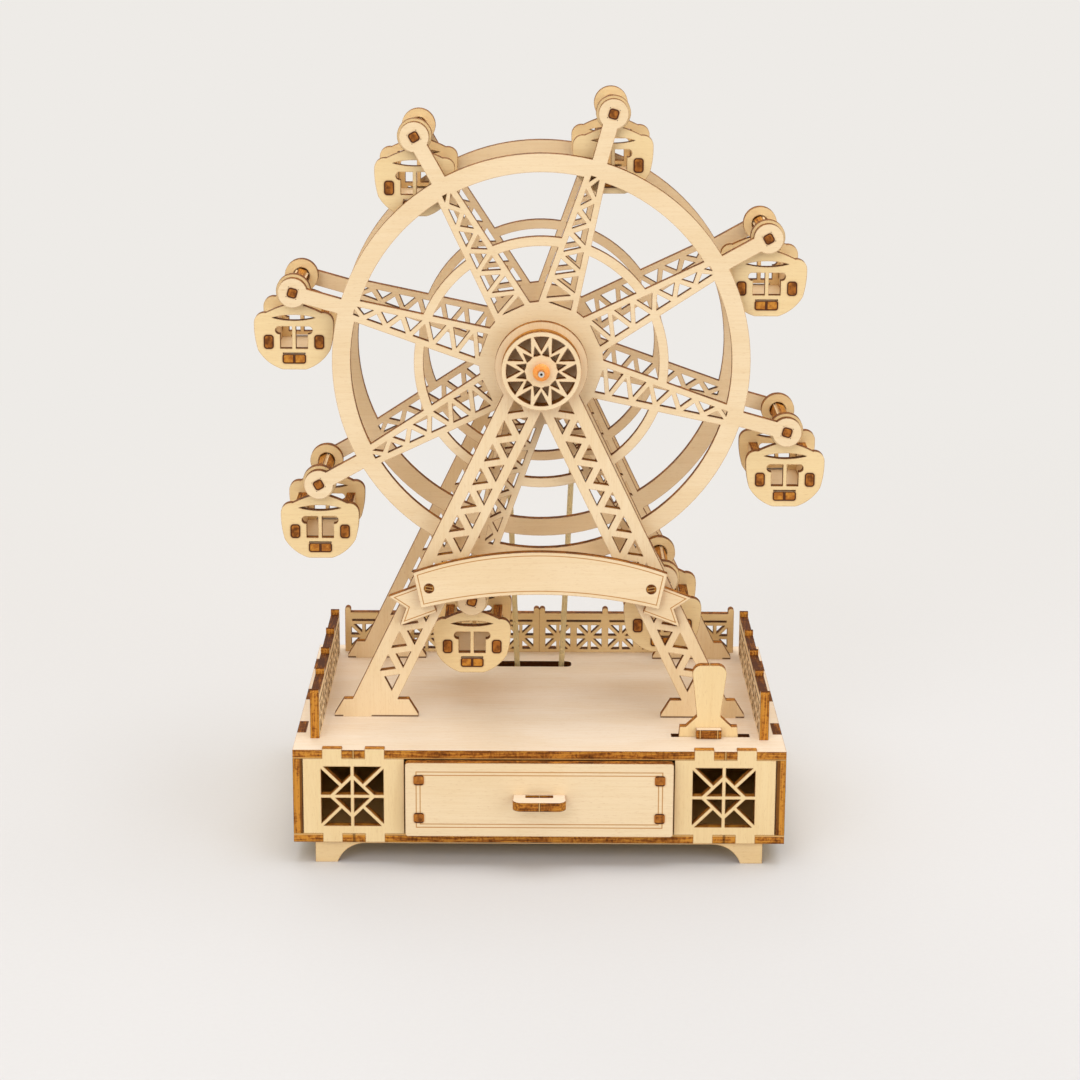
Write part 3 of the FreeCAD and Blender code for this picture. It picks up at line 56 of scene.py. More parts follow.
# How squarely a surface has to look along an axis to face it, and how near a face's middle has to be to
# a plane to lie in it.
FACING = 0.7
FLUSH_MM = 0.05

AXIS_X = (1.0, 0.0, 0.0)
AXIS_Y = (0.0, 1.0, 0.0)
AXIS_Z = (0.0, 0.0, 1.0)

# The wheel at rest: its first spoke's lean, its hub and the circle of the gondolas' pins.
REST_ANGLE = math.radians(15.7)
SPOKE_STEP = math.radians(45.0)
HUB = Vector((0.0, 0.0, 160.2))
PIN_CIRCLE_MM = 85.5
PIN_HALF_MM = 1.55
ROD_RADIUS_MM = 1.0

# A gondola, measured from its own pin: its plates' top, its walls' middles and tabs, and its floor's tab.
GONDOLAS = 8
GONDOLA_EYE_MM = 5.7
WALL_X_MM = 8.4
WALL_TAB_MM = (-19.4, -14.7)
FLOOR_TAB_MM = (-24.3, -21.1)
FLOOR_HALF_TAB_MM = 3.8

# Middles of the tab and peg ends that show in a face, and the tab under each of a frame's feet.
DRAWER_TAB_X_MM = 39.55
DRAWER_TAB_Z_MM = (17.15, 30.25)
BANNER_PIN_X_MM = 37.1
BANNER_PIN_Z_MM = 86.4
FOOT_TAB_X_MM = 61.9
FOOT_HALF_TAB_MM = 4.8


def low_mm(node):
    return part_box(node)[0] / MM


def high_mm(node):
    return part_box(node)[1] / MM


def middle_mm(node):
    return (low_mm(node) + high_mm(node)) / 2


# ---------------------------------------------------------------- colours


def colour(code):
    """Scene colour of a six-figure screen colour."""
    channels = []
    for start in (0, 2, 4):
        value = int(code[start:start + 2], 16) / 255
        channels.append(value / 12.92 if value <= 0.04045 else ((value + 0.055) / 1.055) ** 2.4)
    return (*channels, 1.0)


CREAM = colour("f6e1c0")
PINK_CREAM = colour("f4e7da")
YELLOW_CREAM = colour("f6deb0")
# Painted shade: the pieces inside the base take a darker, yellower tone for the shade inside it.
INNER_SHADE_TAN = colour("e8c684")
# Painted shade: the foot rails' tone is darker and warmer for the shade they stand in.
FOOT_SHADE_CREAM = colour("f0d5a8")
TAN_STREAK = colour("dcb77c")
PORE = colour("c08f52")
GOLD_EDGE = colour("d09038")
AMBER_EDGE = colour("ab6826")
BROWN_EDGE = colour("7a4511")
DARK_EDGE = colour("50280c")
CHAR = colour("2e1507")
TAB_RIM = colour("4c220a")
PALE_VENEER = colour("e2b878")
ENGRAVED = colour("b8781f")
HALO = colour("a4682e")
STEEL = colour("dedbd5")
STEEL_DIMPLE_SHADE = colour("2a251f")
SILICONE = colour("ff9a40")
SILICONE_BLOOM = colour("ffae58")
SILICONE_PAINTED_LIGHT = colour("ffca84")
SILICONE_SPECK = colour("d9703a")
CORD = colour("f8ebc2")
CORD_CLOUD = colour("eedeae")
TUBE = colour("e9e6dd")
TUBE_LINE = colour("d8d3c6")
PAPER = colour("eeebe7")
FLOOR_PAPER = colour("d9dce7")
FLOOR_FIBRE = colour("dbdfea")


# ---------------------------------------------------------------- node trees


class Tree:
    """Adds linked nodes to a material or to a node group."""

    def __init__(self, tree):
        self.tree = tree

    def feed(self, socket, value):
        if isinstance(value, bpy.types.NodeSocket):
            self.tree.links.new(value, socket)
        else:
            socket.default_value = value

    def add(self, kind, inputs=(), **settings):
        node = self.tree.nodes.new(kind)
        for name, value in settings.items():
            setattr(node, name, value)
        for key, value in dict(inputs).items():
            self.feed(node.inputs[key], value)
        return node

    def math(self, operation, *values):
        return self.add("ShaderNodeMath", enumerate(values), operation=operation).outputs[0]

    def plus(self, first, second):
        return self.math("ADD", first, second)

    def minus(self, first, second):
        return self.math("SUBTRACT", first, second)

    def times(self, first, second):
        return self.math("MULTIPLY", first, second)

    def absolute(self, value):
        return self.math("ABSOLUTE", value)

    def off(self, value, middle):
        """How far a value is from a middle, either way."""
        return self.absolute(self.minus(value, middle))

    def least(self, first, *others):
        for other in others:
            first = self.math("MINIMUM", first, other)
        return first

    def most(self, first, *others):
        for other in others:
            first = self.math("MAXIMUM", first, other)
        return first

    def ramp(self, value, low, high, start=0.0, end=1.0):
        """Smooth step of a value between two limits."""
        inputs = {"Value": value, "From Min": low, "From Max": high, "To Min": start, "To Max": end}
        return self.add("ShaderNodeMapRange", inputs, interpolation_type="SMOOTHSTEP").outputs["Result"]

    def vector(self, operation, *values):
        node = self.add("ShaderNodeVectorMath", enumerate(values), operation=operation)
        return node.outputs["Value" if operation in ("DOT_PRODUCT", "LENGTH") else "Vector"]

    def scale(self, vector, factor):
        return self.add("ShaderNodeVectorMath", {0: vector, "Scale": factor}, operation="SCALE").outputs[0]

    def axes(self, vector):
        return self.add("ShaderNodeSeparateXYZ", {"Vector": vector}).outputs

    def joined(self, x, y, z):
        return self.add("ShaderNodeCombineXYZ", {"X": x, "Y": y, "Z": z}).outputs[0]

    def place_mm(self):
        """Place on the piece, in millimetres of the whole toy."""
        return self.scale(self.add("ShaderNodeTexCoord").outputs["Object"], 1 / MM)

    def front_place(self):
        """Sideways and upward place on the piece, as a front view shows them."""
        place = self.axes(self.place_mm())
        return place["X"], place["Z"]

    def normal(self):
        return self.add("ShaderNodeTexCoord").outputs["Normal"]

    def noise(self, place, scale, detail=2.0, roughness=0.5):
        inputs = {"Vector": place, "Scale": scale, "Detail": detail, "Roughness": roughness}
        return self.add("ShaderNodeTexNoise", inputs).outputs[0]

    def mix(self, factor, first, second):
        """Blend of two colours."""
        node = self.add("ShaderNodeMix", data_type="RGBA")
        for index, value in ((0, factor), (6, first), (7, second)):
            self.feed(node.inputs[index], value)
        return node.outputs[2]

    def stain(self, base, tint, mask, strength):
        """Colour with a tint laid over it where the mask is, up to a strength."""
        return self.mix(self.times(mask, strength), base, tint)

    def group(self, group, **inputs):
        node = self.add("ShaderNodeGroup", node_tree=group)
        for name, value in inputs.items():
            self.feed(node.inputs[name], value)
        return node.outputs


def new_group(name, inputs, outputs):
    """Empty node group with the given sockets: {name: (kind, value)} and {name: kind}."""
    group = bpy.data.node_groups.new(name, "ShaderNodeTree")
    for label, (kind, value) in inputs.items():
        socket = group.interface.new_socket(label, in_out="INPUT", socket_type="NodeSocket" + kind)
        socket.default_value = value
    for label, kind in outputs.items():
        group.interface.new_socket(label, in_out="OUTPUT", socket_type="NodeSocket" + kind)
    tree = Tree(group)
    return group, tree, tree.add("NodeGroupInput").outputs, tree.add("NodeGroupOutput").inputs


def sheet_layout_group():
    """Tells a sheet's faces from its cut edges, and how deep in the sheet a place lies, from 0 to 1."""
    group, tree, given, result = new_group(
        "Sheet layout",
        {"Axis": ("Vector", AXIS_Y), "Start": ("Float", 0.0)},
        {"Face": "Float", "Depth": "Float"})
    lean = tree.absolute(tree.vector("DOT_PRODUCT", tree.normal(), given["Axis"]))
    tree.feed(result["Face"], tree.math("GREATER_THAN", lean, FACING))
    along = tree.vector("DOT_PRODUCT", tree.place_mm(), given["Axis"])
    sheets = tree.math("DIVIDE", tree.minus(along, given["Start"]), PLY_MM)
    tree.feed(result["Depth"], tree.math("FRACT", sheets))
    return group


def grain_group():
    """Fine pores, soft streaks and broad clouds that run along one direction."""
    group, tree, given, result = new_group(
        "Wood grain",
        {"Along": ("Vector", AXIS_X), "Seed": ("Float", 0.0)},
        {"Streak": "Float", "Pore": "Float", "Cloud": "Float"})
    place = tree.place_mm()
    along = tree.vector("DOT_PRODUCT", place, given["Along"])
    across = tree.vector("SUBTRACT", place, tree.scale(given["Along"], along))
    sheet_shift = tree.scale((13.7, 7.9, 21.3), given["Seed"])

    def stretched(share):
        """Place that counts only a share of the way along the grain, so that a texture runs with it."""
        stem = tree.scale(given["Along"], tree.times(along, share))
        return tree.vector("ADD", tree.vector("ADD", across, stem), sheet_shift)

    bend_mm = tree.times(tree.noise(tree.scale(place, 0.02), scale=1.0, detail=1.0), 4.0)
    bent = tree.vector("ADD", stretched(0.03), tree.scale((1.0, 1.0, 1.0), bend_mm))
    streaks = tree.noise(bent, scale=1.5, detail=4.0, roughness=0.6)
    pores = tree.noise(stretched(0.16), scale=3.4, roughness=0.6)
    clouds = tree.noise(stretched(0.45), scale=0.06)
    tree.feed(result["Streak"], tree.ramp(streaks, 0.35, 0.75))
    tree.feed(result["Pore"], tree.ramp(pores, 0.56, 0.74))
    tree.feed(result["Cloud"], tree.ramp(clouds, 0.35, 0.68))
    return group


def sooty_wood(tree, soot, to_amber, to_brown, to_dark):
    """Gold wood that turns amber, brown and dark as the soot on it grows, each between two limits."""
    wood = GOLD_EDGE
    for limits, tint in ((to_amber, AMBER_EDGE), (to_brown, BROWN_EDGE), (to_dark, DARK_EDGE)):
        wood = tree.mix(tree.ramp(soot, *limits), wood, tint)
    return wood


def burnt_edge_group():
    """Colour and relief of a laser-cut edge. Gold wood shows through soot that lies in stripes along the
    edge, in short hatches across it and in patches, and the glue lines under both skins are dark."""
    group, tree, given, result = new_group(
        "Burnt edge",
        {"Axis": ("Vector", AXIS_Y), "Depth": ("Float", 0.5),
         "Burn": ("Float", 0.5), "Upper": ("Float", 0.0)},
        {"Colour": "Color", "Relief": "Float"})
    place = tree.place_mm()
    edge_line = tree.vector("NORMALIZE", tree.vector("CROSS_PRODUCT", tree.normal(), given["Axis"]))
    run = tree.vector("DOT_PRODUCT", place, edge_line)
    deep = tree.times(given["Depth"], PLY_MM)
    stripes_place = tree.joined(deep, tree.times(run, 0.04), 3.0)
    hatches_place = tree.joined(tree.times(deep, 0.5), run, 9.0)
    stripes = tree.noise(stripes_place, scale=2.8, detail=3.0, roughness=0.6)
    hatches = tree.noise(hatches_place, scale=1.3, detail=4.0, roughness=0.66)
    patches = tree.noise(place, scale=0.16)
    flecks = tree.ramp(tree.noise(place, scale=0.95, roughness=0.6), 0.52, 0.66, 0.4, 0.6)
    upward = tree.ramp(tree.axes(tree.normal())["Z"], 0.6, 0.9)
    soot = tree.plus(given["Burn"], tree.times(upward, given["Upper"]))
    for texture, share in ((stripes, 2.1), (hatches, 1.1), (patches, 0.8), (flecks, 1.2)):
        soot = tree.plus(soot, tree.times(tree.minus(texture, 0.5), share))
    wood = sooty_wood(tree, soot, (0.05, 0.35), (0.3, 0.62), (0.6, 0.95))
    off_middle = tree.off(given["Depth"], 0.5)
    skin = tree.ramp(off_middle, 0.43, 0.47)
    glue = tree.times(tree.ramp(off_middle, 0.27, 0.3), tree.ramp(off_middle, 0.36, 0.32))
    wood = tree.stain(wood, DARK_EDGE, glue, 0.45)
    tree.feed(result["Colour"], tree.stain(wood, CHAR, skin, 0.6))
    tree.feed(result["Relief"], tree.plus(hatches, tree.times(skin, -0.6)))
    return group


def scorch_group():
    """Scorched rim that the cut leaves beside a corner, from how near a corner of the solid is."""
    group, tree, given, result = new_group("Scorched rim", {"Width": ("Float", 0.45 * MM)}, {"Mask": "Float"})
    rounded = tree.add("ShaderNodeBevel", {"Radius": given["Width"]}, samples=4).outputs[0]
    square = tree.add("ShaderNodeNewGeometry").outputs["Normal"]
    likeness = tree.vector("DOT_PRODUCT", rounded, square)
    tree.feed(result["Mask"], tree.ramp(likeness, 0.995, 0.85))
    return group


def peg_end_group():
    """Distance from the outline of a peg's or tab's end with rounded corners, below 0 inside it."""
    group, tree, given, result = new_group(
        "Peg end",
        {"Across": ("Float", 0.0), "Up": ("Float", 0.0), "Half width": ("Float", 1.5),
         "Half height": ("Float", 1.5), "Corner": ("Float", 0.8)},
        {"Distance": "Float"})
    beyond = []
    for place, half in (("Across", "Half width"), ("Up", "Half height")):
        straight = tree.minus(given[half], given["Corner"])
        beyond.append(tree.minus(tree.absolute(given[place]), straight))
    corner = [tree.most(value, 0.0) for value in beyond]
    outside = tree.vector("LENGTH", tree.joined(*corner, 0.0))
    inside = tree.least(tree.most(*beyond), 0.0)
    tree.feed(result["Distance"], tree.minus(tree.plus(outside, inside), given["Corner"]))
    return group


def spoke_place_group():
    """Place measured along the nearest of the wheel's spokes and sideways from it, at rest."""
    group, tree, _, result = new_group("Spoke place", {}, {"Radial": "Float", "Sideways": "Float"})
    x, z = tree.front_place()
    rise = tree.minus(z, HUB.z)
    turn = tree.minus(tree.math("ARCTAN2", x, rise), REST_ANGLE)
    spoke = tree.math("ROUND", tree.math("DIVIDE", turn, SPOKE_STEP))
    turn = tree.minus(turn, tree.times(spoke, SPOKE_STEP))
    reach = tree.vector("LENGTH", tree.joined(x, 0.0, rise))
    tree.feed(result["Radial"], tree.times(reach, tree.math("COSINE", turn)))
    tree.feed(result["Sideways"], tree.times(reach, tree.math("SINE", turn)))
    return group


SHEET_LAYOUT = sheet_layout_group()
WOOD_GRAIN = grain_group()
BURNT_EDGE = burnt_edge_group()
SCORCHED_RIM = scorch_group()
PEG_END = peg_end_group()
SPOKE_PLACE = spoke_place_group()


# ---------------------------------------------------------------- engraved lines, and the feet's scorched line with painted shade

LINE_HALF_MM = 0.15


def ring_line(tree, distance, inset):
    """Thin line that follows an outline at the given distance inside it."""
    return tree.ramp(tree.off(distance, inset), LINE_HALF_MM + 0.08, LINE_HALF_MM - 0.06)


def inside_of_edge(tree, x, z, start, end):
    """Distance inside a straight edge that runs clockwise from start to end."""
    run = Vector(end) - Vector(start)
    normal = Vector((run.y, -run.x)).normalized()
    reach = normal.dot(Vector(start))
    return tree.minus(tree.plus(tree.times(x, normal.x), tree.times(z, normal.y)), reach)


def from_centre(tree, x, z, height):
    """Distance from the point at that height on the middle line."""
    return tree.vector("LENGTH", tree.joined(x, 0.0, tree.minus(z, height)))


def drawer_lines(tree):
    """Two engraved frames inside the drawer front's outline, a little further in at its two ends."""
    frame_insets = ((3.6, 3.1), (4.9, 4.25))
    half = (high_mm("drawer_front") - low_mm("drawer_front")) / 2
    x, z = tree.front_place()
    beside = tree.minus(half.x, tree.absolute(x))
    above = tree.minus(half.z, tree.off(z, middle_mm("drawer_front").z))
    lines = []
    for end_inset, long_inset in frame_insets:
        inside = tree.least(tree.minus(beside, end_inset - long_inset), above)
        lines.append(ring_line(tree, inside, long_inset))
    return tree.most(*lines)


def arc_radius(half, sag):
    """Radius of an arc from half its width and how far it bulges."""
    return (half * half + sag * sag) / (2 * sag)


def banner_lines(tree):
    """One engraved line all round the ribbon, inside its two arcs and its slanted ends."""
    half_top, top, top_sag = 42.4, 99.0, 7.3
    half_bottom, bottom, bottom_sag = 39.8, 84.4, 4.9
    inset = 1.2
    upper = arc_radius(half_top, top_sag)
    lower = arc_radius(half_bottom, bottom_sag)
    x, z = tree.front_place()
    under_top = tree.minus(upper, from_centre(tree, x, z, top - upper))
    over_bottom = tree.minus(from_centre(tree, x, z, bottom - lower), lower)
    upper_end, lower_end = (half_top, top - top_sag), (half_bottom, bottom - bottom_sag)
    end = inside_of_edge(tree, tree.absolute(x), z, upper_end, lower_end)
    return ring_line(tree, tree.least(under_top, over_bottom, end), inset)


def tail_lines(tree):
    """Line inside the swallow tail's edges and its notch."""
    inner_low, inner_high = (34.7, 77.3), (38.5, 87.3)
    upper_tip, notch, lower_tip = (50.8, 82.6), (44.9, 78.7), (47.0, 72.6)
    inset = 0.9
    x, z = tree.front_place()
    across = tree.absolute(x)
    top = inside_of_edge(tree, across, z, inner_high, upper_tip)
    fork = tree.most(inside_of_edge(tree, across, z, upper_tip, notch),
                     inside_of_edge(tree, across, z, notch, lower_tip))
    low = inside_of_edge(tree, across, z, lower_tip, inner_low)
    return ring_line(tree, tree.least(top, fork, low), inset)


def foot_scorch_and_gap_shade(tree):
    """Scorched edge and painted gap shade along a frame's feet, on both sides of the tab that enters the
    deck.
    """
    full_height, fading_height = 0.4, 0.62
    x, z = tree.front_place()
    # Painted shade: besides the scorch, this dark line stands for the shaded gap between the foot and the
    # deck.
    low = tree.ramp(tree.minus(z, high_mm("deck").z), fading_height, full_height)
    off_tab = tree.off(tree.absolute(x), FOOT_TAB_X_MM)
    return tree.times(low, tree.ramp(off_tab, FOOT_HALF_TAB_MM - 0.1, FOOT_HALF_TAB_MM + 0.1))


# ---------------------------------------------------------------- ends of tabs and pegs that show in a face

# pin_ends, drawer_tab_ends and gondola_tab_ends each give the distance from the ends' outline, the soot
# on the ends, and where their outline is gold instead of dark.


def end_outline(tree, across, up, half_width, half_height, corner=0.8):
    """Distance from an end's outline, at a place measured from the end's middle."""
    size = {"Half width": half_width, "Half height": half_height, "Corner": corner}
    return tree.group(PEG_END, Across=across, Up=up, **size)["Distance"]


def pin_ends(tree):
    """The crossed strips' end in each of a disc's eyes."""
    soot, gold_sides = 0.6, 0.0
    place = tree.group(SPOKE_PLACE)
    up = tree.minus(place["Radial"], PIN_CIRCLE_MM)
    distance = end_outline(tree, place["Sideways"], up, PIN_HALF_MM, PIN_HALF_MM, corner=0.9)
    return distance, soot, gold_sides


def drawer_tab_ends(tree):
    """The drawer sides' four tabs in its front, gold along their upright sides."""
    low, high = DRAWER_TAB_Z_MM
    half_width, half_height = 1.6, 1.65
    soot = 0.58
    x, z = tree.front_place()
    across = tree.minus(tree.absolute(x), DRAWER_TAB_X_MM)
    up = tree.minus(tree.off(z, (low + high) / 2), (high - low) / 2)
    gold_sides = tree.ramp(tree.minus(tree.absolute(across), tree.absolute(up)), 0.0, 0.3)
    return end_outline(tree, across, up, half_width, half_height), soot, gold_sides


def gondola_place(tree):
    """Sideways and upwards from the gondola's own pin."""
    share = tree.axes(tree.add("ShaderNodeTexCoord").outputs["Generated"])
    size = high_mm("gondola_1") - low_mm("gondola_1")
    x = tree.times(tree.minus(share["X"], 0.5), size.x)
    z = tree.plus(tree.times(share["Z"], size.z), GONDOLA_EYE_MM - size.z)
    return x, z


def gondola_tab_ends(tree):
    """A wall's tab at each side of a gondola's plate, and under them the floor's wide one, less burnt and
    parted in its middle."""
    half_ply, wall_half_height, parting_half = 1.55, 2.3, 0.12
    wall_soot, floor_soot, gold_sides = 0.62, 0.3, 0.0
    x, z = gondola_place(tree)
    beside = tree.minus(tree.absolute(x), WALL_X_MM)
    over_wall_tab = tree.minus(z, sum(WALL_TAB_MM) / 2)
    over_floor_tab = tree.minus(z, sum(FLOOR_TAB_MM) / 2)
    wall = end_outline(tree, beside, over_wall_tab, half_ply, wall_half_height, corner=1.0)
    floor = end_outline(tree, x, over_floor_tab, FLOOR_HALF_TAB_MM, half_ply)
    parting = tree.minus(parting_half, tree.absolute(x))
    soot = tree.ramp(z, -19.6, -20.6, wall_soot, floor_soot)
    return tree.least(wall, tree.most(floor, parting)), soot, gold_sides


def draw_ends(tree, face, distance, soot, gold_sides):
    """Face with the ends drawn in it: mottled end wood inside a dark outline, and a faint glow round it."""
    mottle = tree.noise(tree.place_mm(), scale=0.5, detail=4.0, roughness=0.6)
    mottle = tree.plus(tree.ramp(mottle, 0.2, 0.8), tree.minus(soot, 0.5))
    end_wood = sooty_wood(tree, mottle, (0.0, 0.5), (0.45, 0.9), (0.85, 1.15))
    face = tree.mix(tree.ramp(distance, 0.9, 0.1, 0.0, 0.3), face, ENGRAVED)
    face = tree.mix(tree.ramp(distance, 0.06, -0.1), face, end_wood)
    outline = tree.ramp(tree.off(distance, -0.08), 0.34, 0.14)
    return tree.mix(outline, face, tree.mix(gold_sides, TAB_RIM, AMBER_EDGE))


# ---------------------------------------------------------------- marks on cut edges


def deck_burn(tree):
    """Soot on the deck's cut edges: light on its outer edges, heavy in its slots."""
    outer_soot, slot_soot = 0.38, 1.1
    half = (high_mm("deck") - low_mm("deck")) / 2
    place = tree.axes(tree.place_mm())
    within = tree.least(tree.minus(half.x, tree.absolute(place["X"])),
                        tree.minus(half.y, tree.off(place["Y"], middle_mm("deck").y)))
    return tree.ramp(within, 3.5, 5.0, outer_soot, slot_soot)


def bridge_marks(tree, cut, centres, pale_stubs):
    """Cut edge with a dark band at each place along x where a bridge held the piece in its sheet, and in
    the band's middle the bridge's pale stub, if it shows."""
    x = tree.axes(tree.place_mm())["X"]
    off_bridge = tree.least(*[tree.off(x, centre) for centre in centres])
    cut = tree.stain(cut, CHAR, tree.ramp(off_bridge, 0.6, 0.3), 0.6)
    if pale_stubs:
        cut = tree.stain(cut, PALE_VENEER, tree.ramp(off_bridge, 0.22, 0.12), 0.8)
    return cut


# ---------------------------------------------------------------- materials

WOOD_GLOSS = 0.22
EVEN_BURN = 0.5


def new_material(name):
    material = bpy.data.materials.new(name)
    material.use_nodes = True
    material.node_tree.nodes.clear()
    tree = Tree(material.node_tree)
    shader = tree.add("ShaderNodeBsdfPrincipled")
    output = tree.add("ShaderNodeOutputMaterial")
    tree.feed(output.inputs["Surface"], shader.outputs[0])
    return material, tree, shader.inputs


def add_relief(tree, shader, height, strength, depth_mm):
    """Fine unevenness of the surface."""
    bump = tree.add("ShaderNodeBump", {"Height": height, "Strength": strength, "Distance": depth_mm * MM})
    tree.feed(shader["Normal"], bump.outputs[0])


def wood_surface(tree, shader, base, roughness, height):
    """Dull surface of bare wood with its colour, roughness and fine relief."""
    tree.feed(shader["Base Color"], base)
    tree.feed(shader["Roughness"], roughness)
    shader["Specular IOR Level"].default_value = WOOD_GLOSS
    add_relief(tree, shader, height, 0.3, 0.06)


def wood_face(tree, grain, tone, seed, rim):
    """Colour and height of a sanded face with its scorched rim."""
    fibres = tree.group(WOOD_GRAIN, Along=grain, Seed=seed)
    face = tree.stain(tone, TAN_STREAK, fibres["Streak"], 0.2)
    face = tree.stain(face, TAN_STREAK, fibres["Cloud"], 0.16)
    face = tree.stain(face, PORE, fibres["Pore"], 0.2)
    face = tree.stain(face, HALO, rim, 0.8)
    return face, tree.times(fibres["Pore"], -0.6)


def plywood(name, axis, start, grain, tone=CREAM, burn=EVEN_BURN, seed=0.0, lines=None, ends=None,
            bridges=(), pale_stubs=True, veneer=None, dark_depths=None, upper=0.0):
    """Sheet of basswood plywood whose thickness runs along the axis from the start. Burn is the soot on
    its edges or a function that draws it, upper how much more lies on edges that face up. Lines is a
    drawing function with its colour, ends a drawing function, and bridges the places of bridge marks.
    Veneer is the depth and half width of a skin left pale, dark_depths the depths between which an edge
    turns dark."""
    material, tree, shader = new_material(name)
    layout = tree.group(SHEET_LAYOUT, Axis=axis, Start=start)
    if callable(burn):
        burn = burn(tree)
    edge = tree.group(BURNT_EDGE, Axis=axis, Depth=layout["Depth"], Burn=burn, Upper=upper)
    rim = tree.group(SCORCHED_RIM)["Mask"]
    cut = edge["Colour"]
    if dark_depths:
        # The cut edge turns darker between these depths of the sheet.
        cut = tree.mix(tree.ramp(layout["Depth"], *dark_depths, 0.0, 0.75), cut, DARK_EDGE)
    if veneer:
        depth, half_width = veneer
        skin = tree.ramp(tree.off(layout["Depth"], depth), half_width + 0.03, half_width - 0.03)
        cut = tree.stain(cut, PALE_VENEER, skin, 0.75)
    if bridges:
        cut = bridge_marks(tree, cut, bridges, pale_stubs)
    cut = tree.stain(cut, CHAR, rim, 0.45)
    if ends:
        distance, soot, gold_sides = ends(tree)
        rim = tree.times(rim, tree.ramp(distance, 0.8, 1.25))
    face, height = wood_face(tree, grain, tone, seed, rim)
    if lines:
        draw, tint = lines
        # On the frames this drawn line is the feet's scorch with painted shade of the gap above the deck.
        engraved = draw(tree)
        face = tree.stain(face, tint, engraved, 0.85)
        height = tree.minus(height, tree.times(engraved, 2.0))
    if ends:
        face = draw_ends(tree, face, distance, soot, gold_sides)
    base = tree.mix(layout["Face"], cut, face)
    roughness = tree.ramp(layout["Face"], 0.0, 1.0, 0.8, 0.58)
    wood_surface(tree, shader, base, roughness, tree.mix(layout["Face"], edge["Relief"], height))
    return material


def sanded_wood(name, grain, tone, seed):
    """Pale wood with the same grain all round, for a turned piece or a strip's flat sides."""
    material, tree, shader = new_material(name)
    rim = tree.group(SCORCHED_RIM)["Mask"]
    face, height = wood_face(tree, grain, tone, seed, rim)
    wood_surface(tree, shader, face, tree.ramp(height, -0.6, 0.0, 0.62, 0.54), height)
    return material


def burnt_wood(name, axis, start, burn):
    """Burnt wood all over, for the narrow sides and ends of strips."""
    material, tree, shader = new_material(name)
    layout = tree.group(SHEET_LAYOUT, Axis=axis, Start=start)
    edge = tree.group(BURNT_EDGE, Axis=axis, Depth=layout["Depth"], Burn=burn)
    rim = tree.group(SCORCHED_RIM)["Mask"]
    wood_surface(tree, shader, tree.stain(edge["Colour"], CHAR, rim, 0.6),
                 tree.ramp(edge["Relief"], 0.2, 0.8, 0.7, 0.9), edge["Relief"])
    return material


def striped_peg():
    """Round peg of stacked sheets: burnt bands with thin pale streaks between them, gold at its two sides."""
    material, tree, shader = new_material("banner_pin_end")
    x, z = tree.front_place()
    across = tree.minus(tree.absolute(x), BANNER_PIN_X_MM)
    rise = tree.minus(z, BANNER_PIN_Z_MM)
    reach = tree.vector("LENGTH", tree.joined(across, rise, 0.0))
    streak_line = tree.minus(rise, tree.times(across, 0.15))
    speckle = tree.noise(tree.place_mm(), scale=1.6, detail=3.0)
    pale = tree.ramp(tree.off(tree.absolute(streak_line), 0.5), 0.24, 0.06)
    wood = tree.mix(tree.ramp(speckle, 0.35, 0.6), BROWN_EDGE, DARK_EDGE)
    wood = tree.stain(wood, PALE_VENEER, pale, 0.6)
    wood = tree.mix(tree.ramp(tree.absolute(across), 0.95, 1.3, 0.0, 0.75), wood, GOLD_EDGE)
    wood = tree.mix(tree.ramp(reach, 1.3, 1.6, 0.0, 0.85), wood, TAB_RIM)
    wood_surface(tree, shader, wood, tree.ramp(speckle, 0.3, 0.7, 0.7, 0.9), speckle)
    return material


def steel_material():
    """Drawn steel rod: fine lines along it, and painted shade of a dimple in the middle of the wheel rod's
    ends.
    """
    material, tree, shader = new_material("drawn_steel")
    x, y, z = tree.axes(tree.place_mm())
    lines = tree.noise(tree.joined(x, tree.times(y, 0.05), z), scale=9.0)
    # Painted shade: the dimple's hollow is drawn as a dark spot on the flat end.
    dimple = tree.ramp(from_centre(tree, x, z, HUB.z), 0.5, 0.36)
    end = tree.math("GREATER_THAN", tree.absolute(tree.axes(tree.normal())["Y"]), FACING)
    tree.feed(shader["Base Color"], tree.mix(tree.times(dimple, end), STEEL, STEEL_DIMPLE_SHADE))
    tree.feed(shader["Roughness"], tree.ramp(lines, 0.3, 0.7, 0.24, 0.4))
    shader["Metallic"].default_value = 1.0
    add_relief(tree, shader, lines, 0.15, 0.03)
    return material


def silicone_material():
    """Soft orange silicone, with painted light: paler on its rim, where light passes through the edge."""
    material, tree, shader = new_material("orange_silicone")
    place = tree.place_mm()
    bloom = tree.noise(place, scale=0.9, detail=3.0)
    specks = tree.noise(place, scale=4.0)
    body = tree.mix(tree.ramp(bloom, 0.35, 0.7), SILICONE, SILICONE_BLOOM)
    # Painted light: the bead's rim is tinted paler as if lit through.
    side = tree.ramp(tree.absolute(tree.axes(tree.normal())["Y"]), 0.75, 0.2)
    body = tree.stain(body, SILICONE_PAINTED_LIGHT, side, 0.6)
    tree.feed(shader["Base Color"], tree.mix(tree.ramp(specks, 0.66, 0.8, 0.0, 0.3), body, SILICONE_SPECK))
    tree.feed(shader["Roughness"], tree.ramp(specks, 0.3, 0.7, 0.38, 0.5))
    shader["Subsurface Weight"].default_value = 0.45
    shader["Subsurface Radius"].default_value = (1.2 * MM, 0.6 * MM, 0.3 * MM)
    shader["Subsurface Scale"].default_value = 1.0
    add_relief(tree, shader, specks, 0.15, 0.04)
    return material


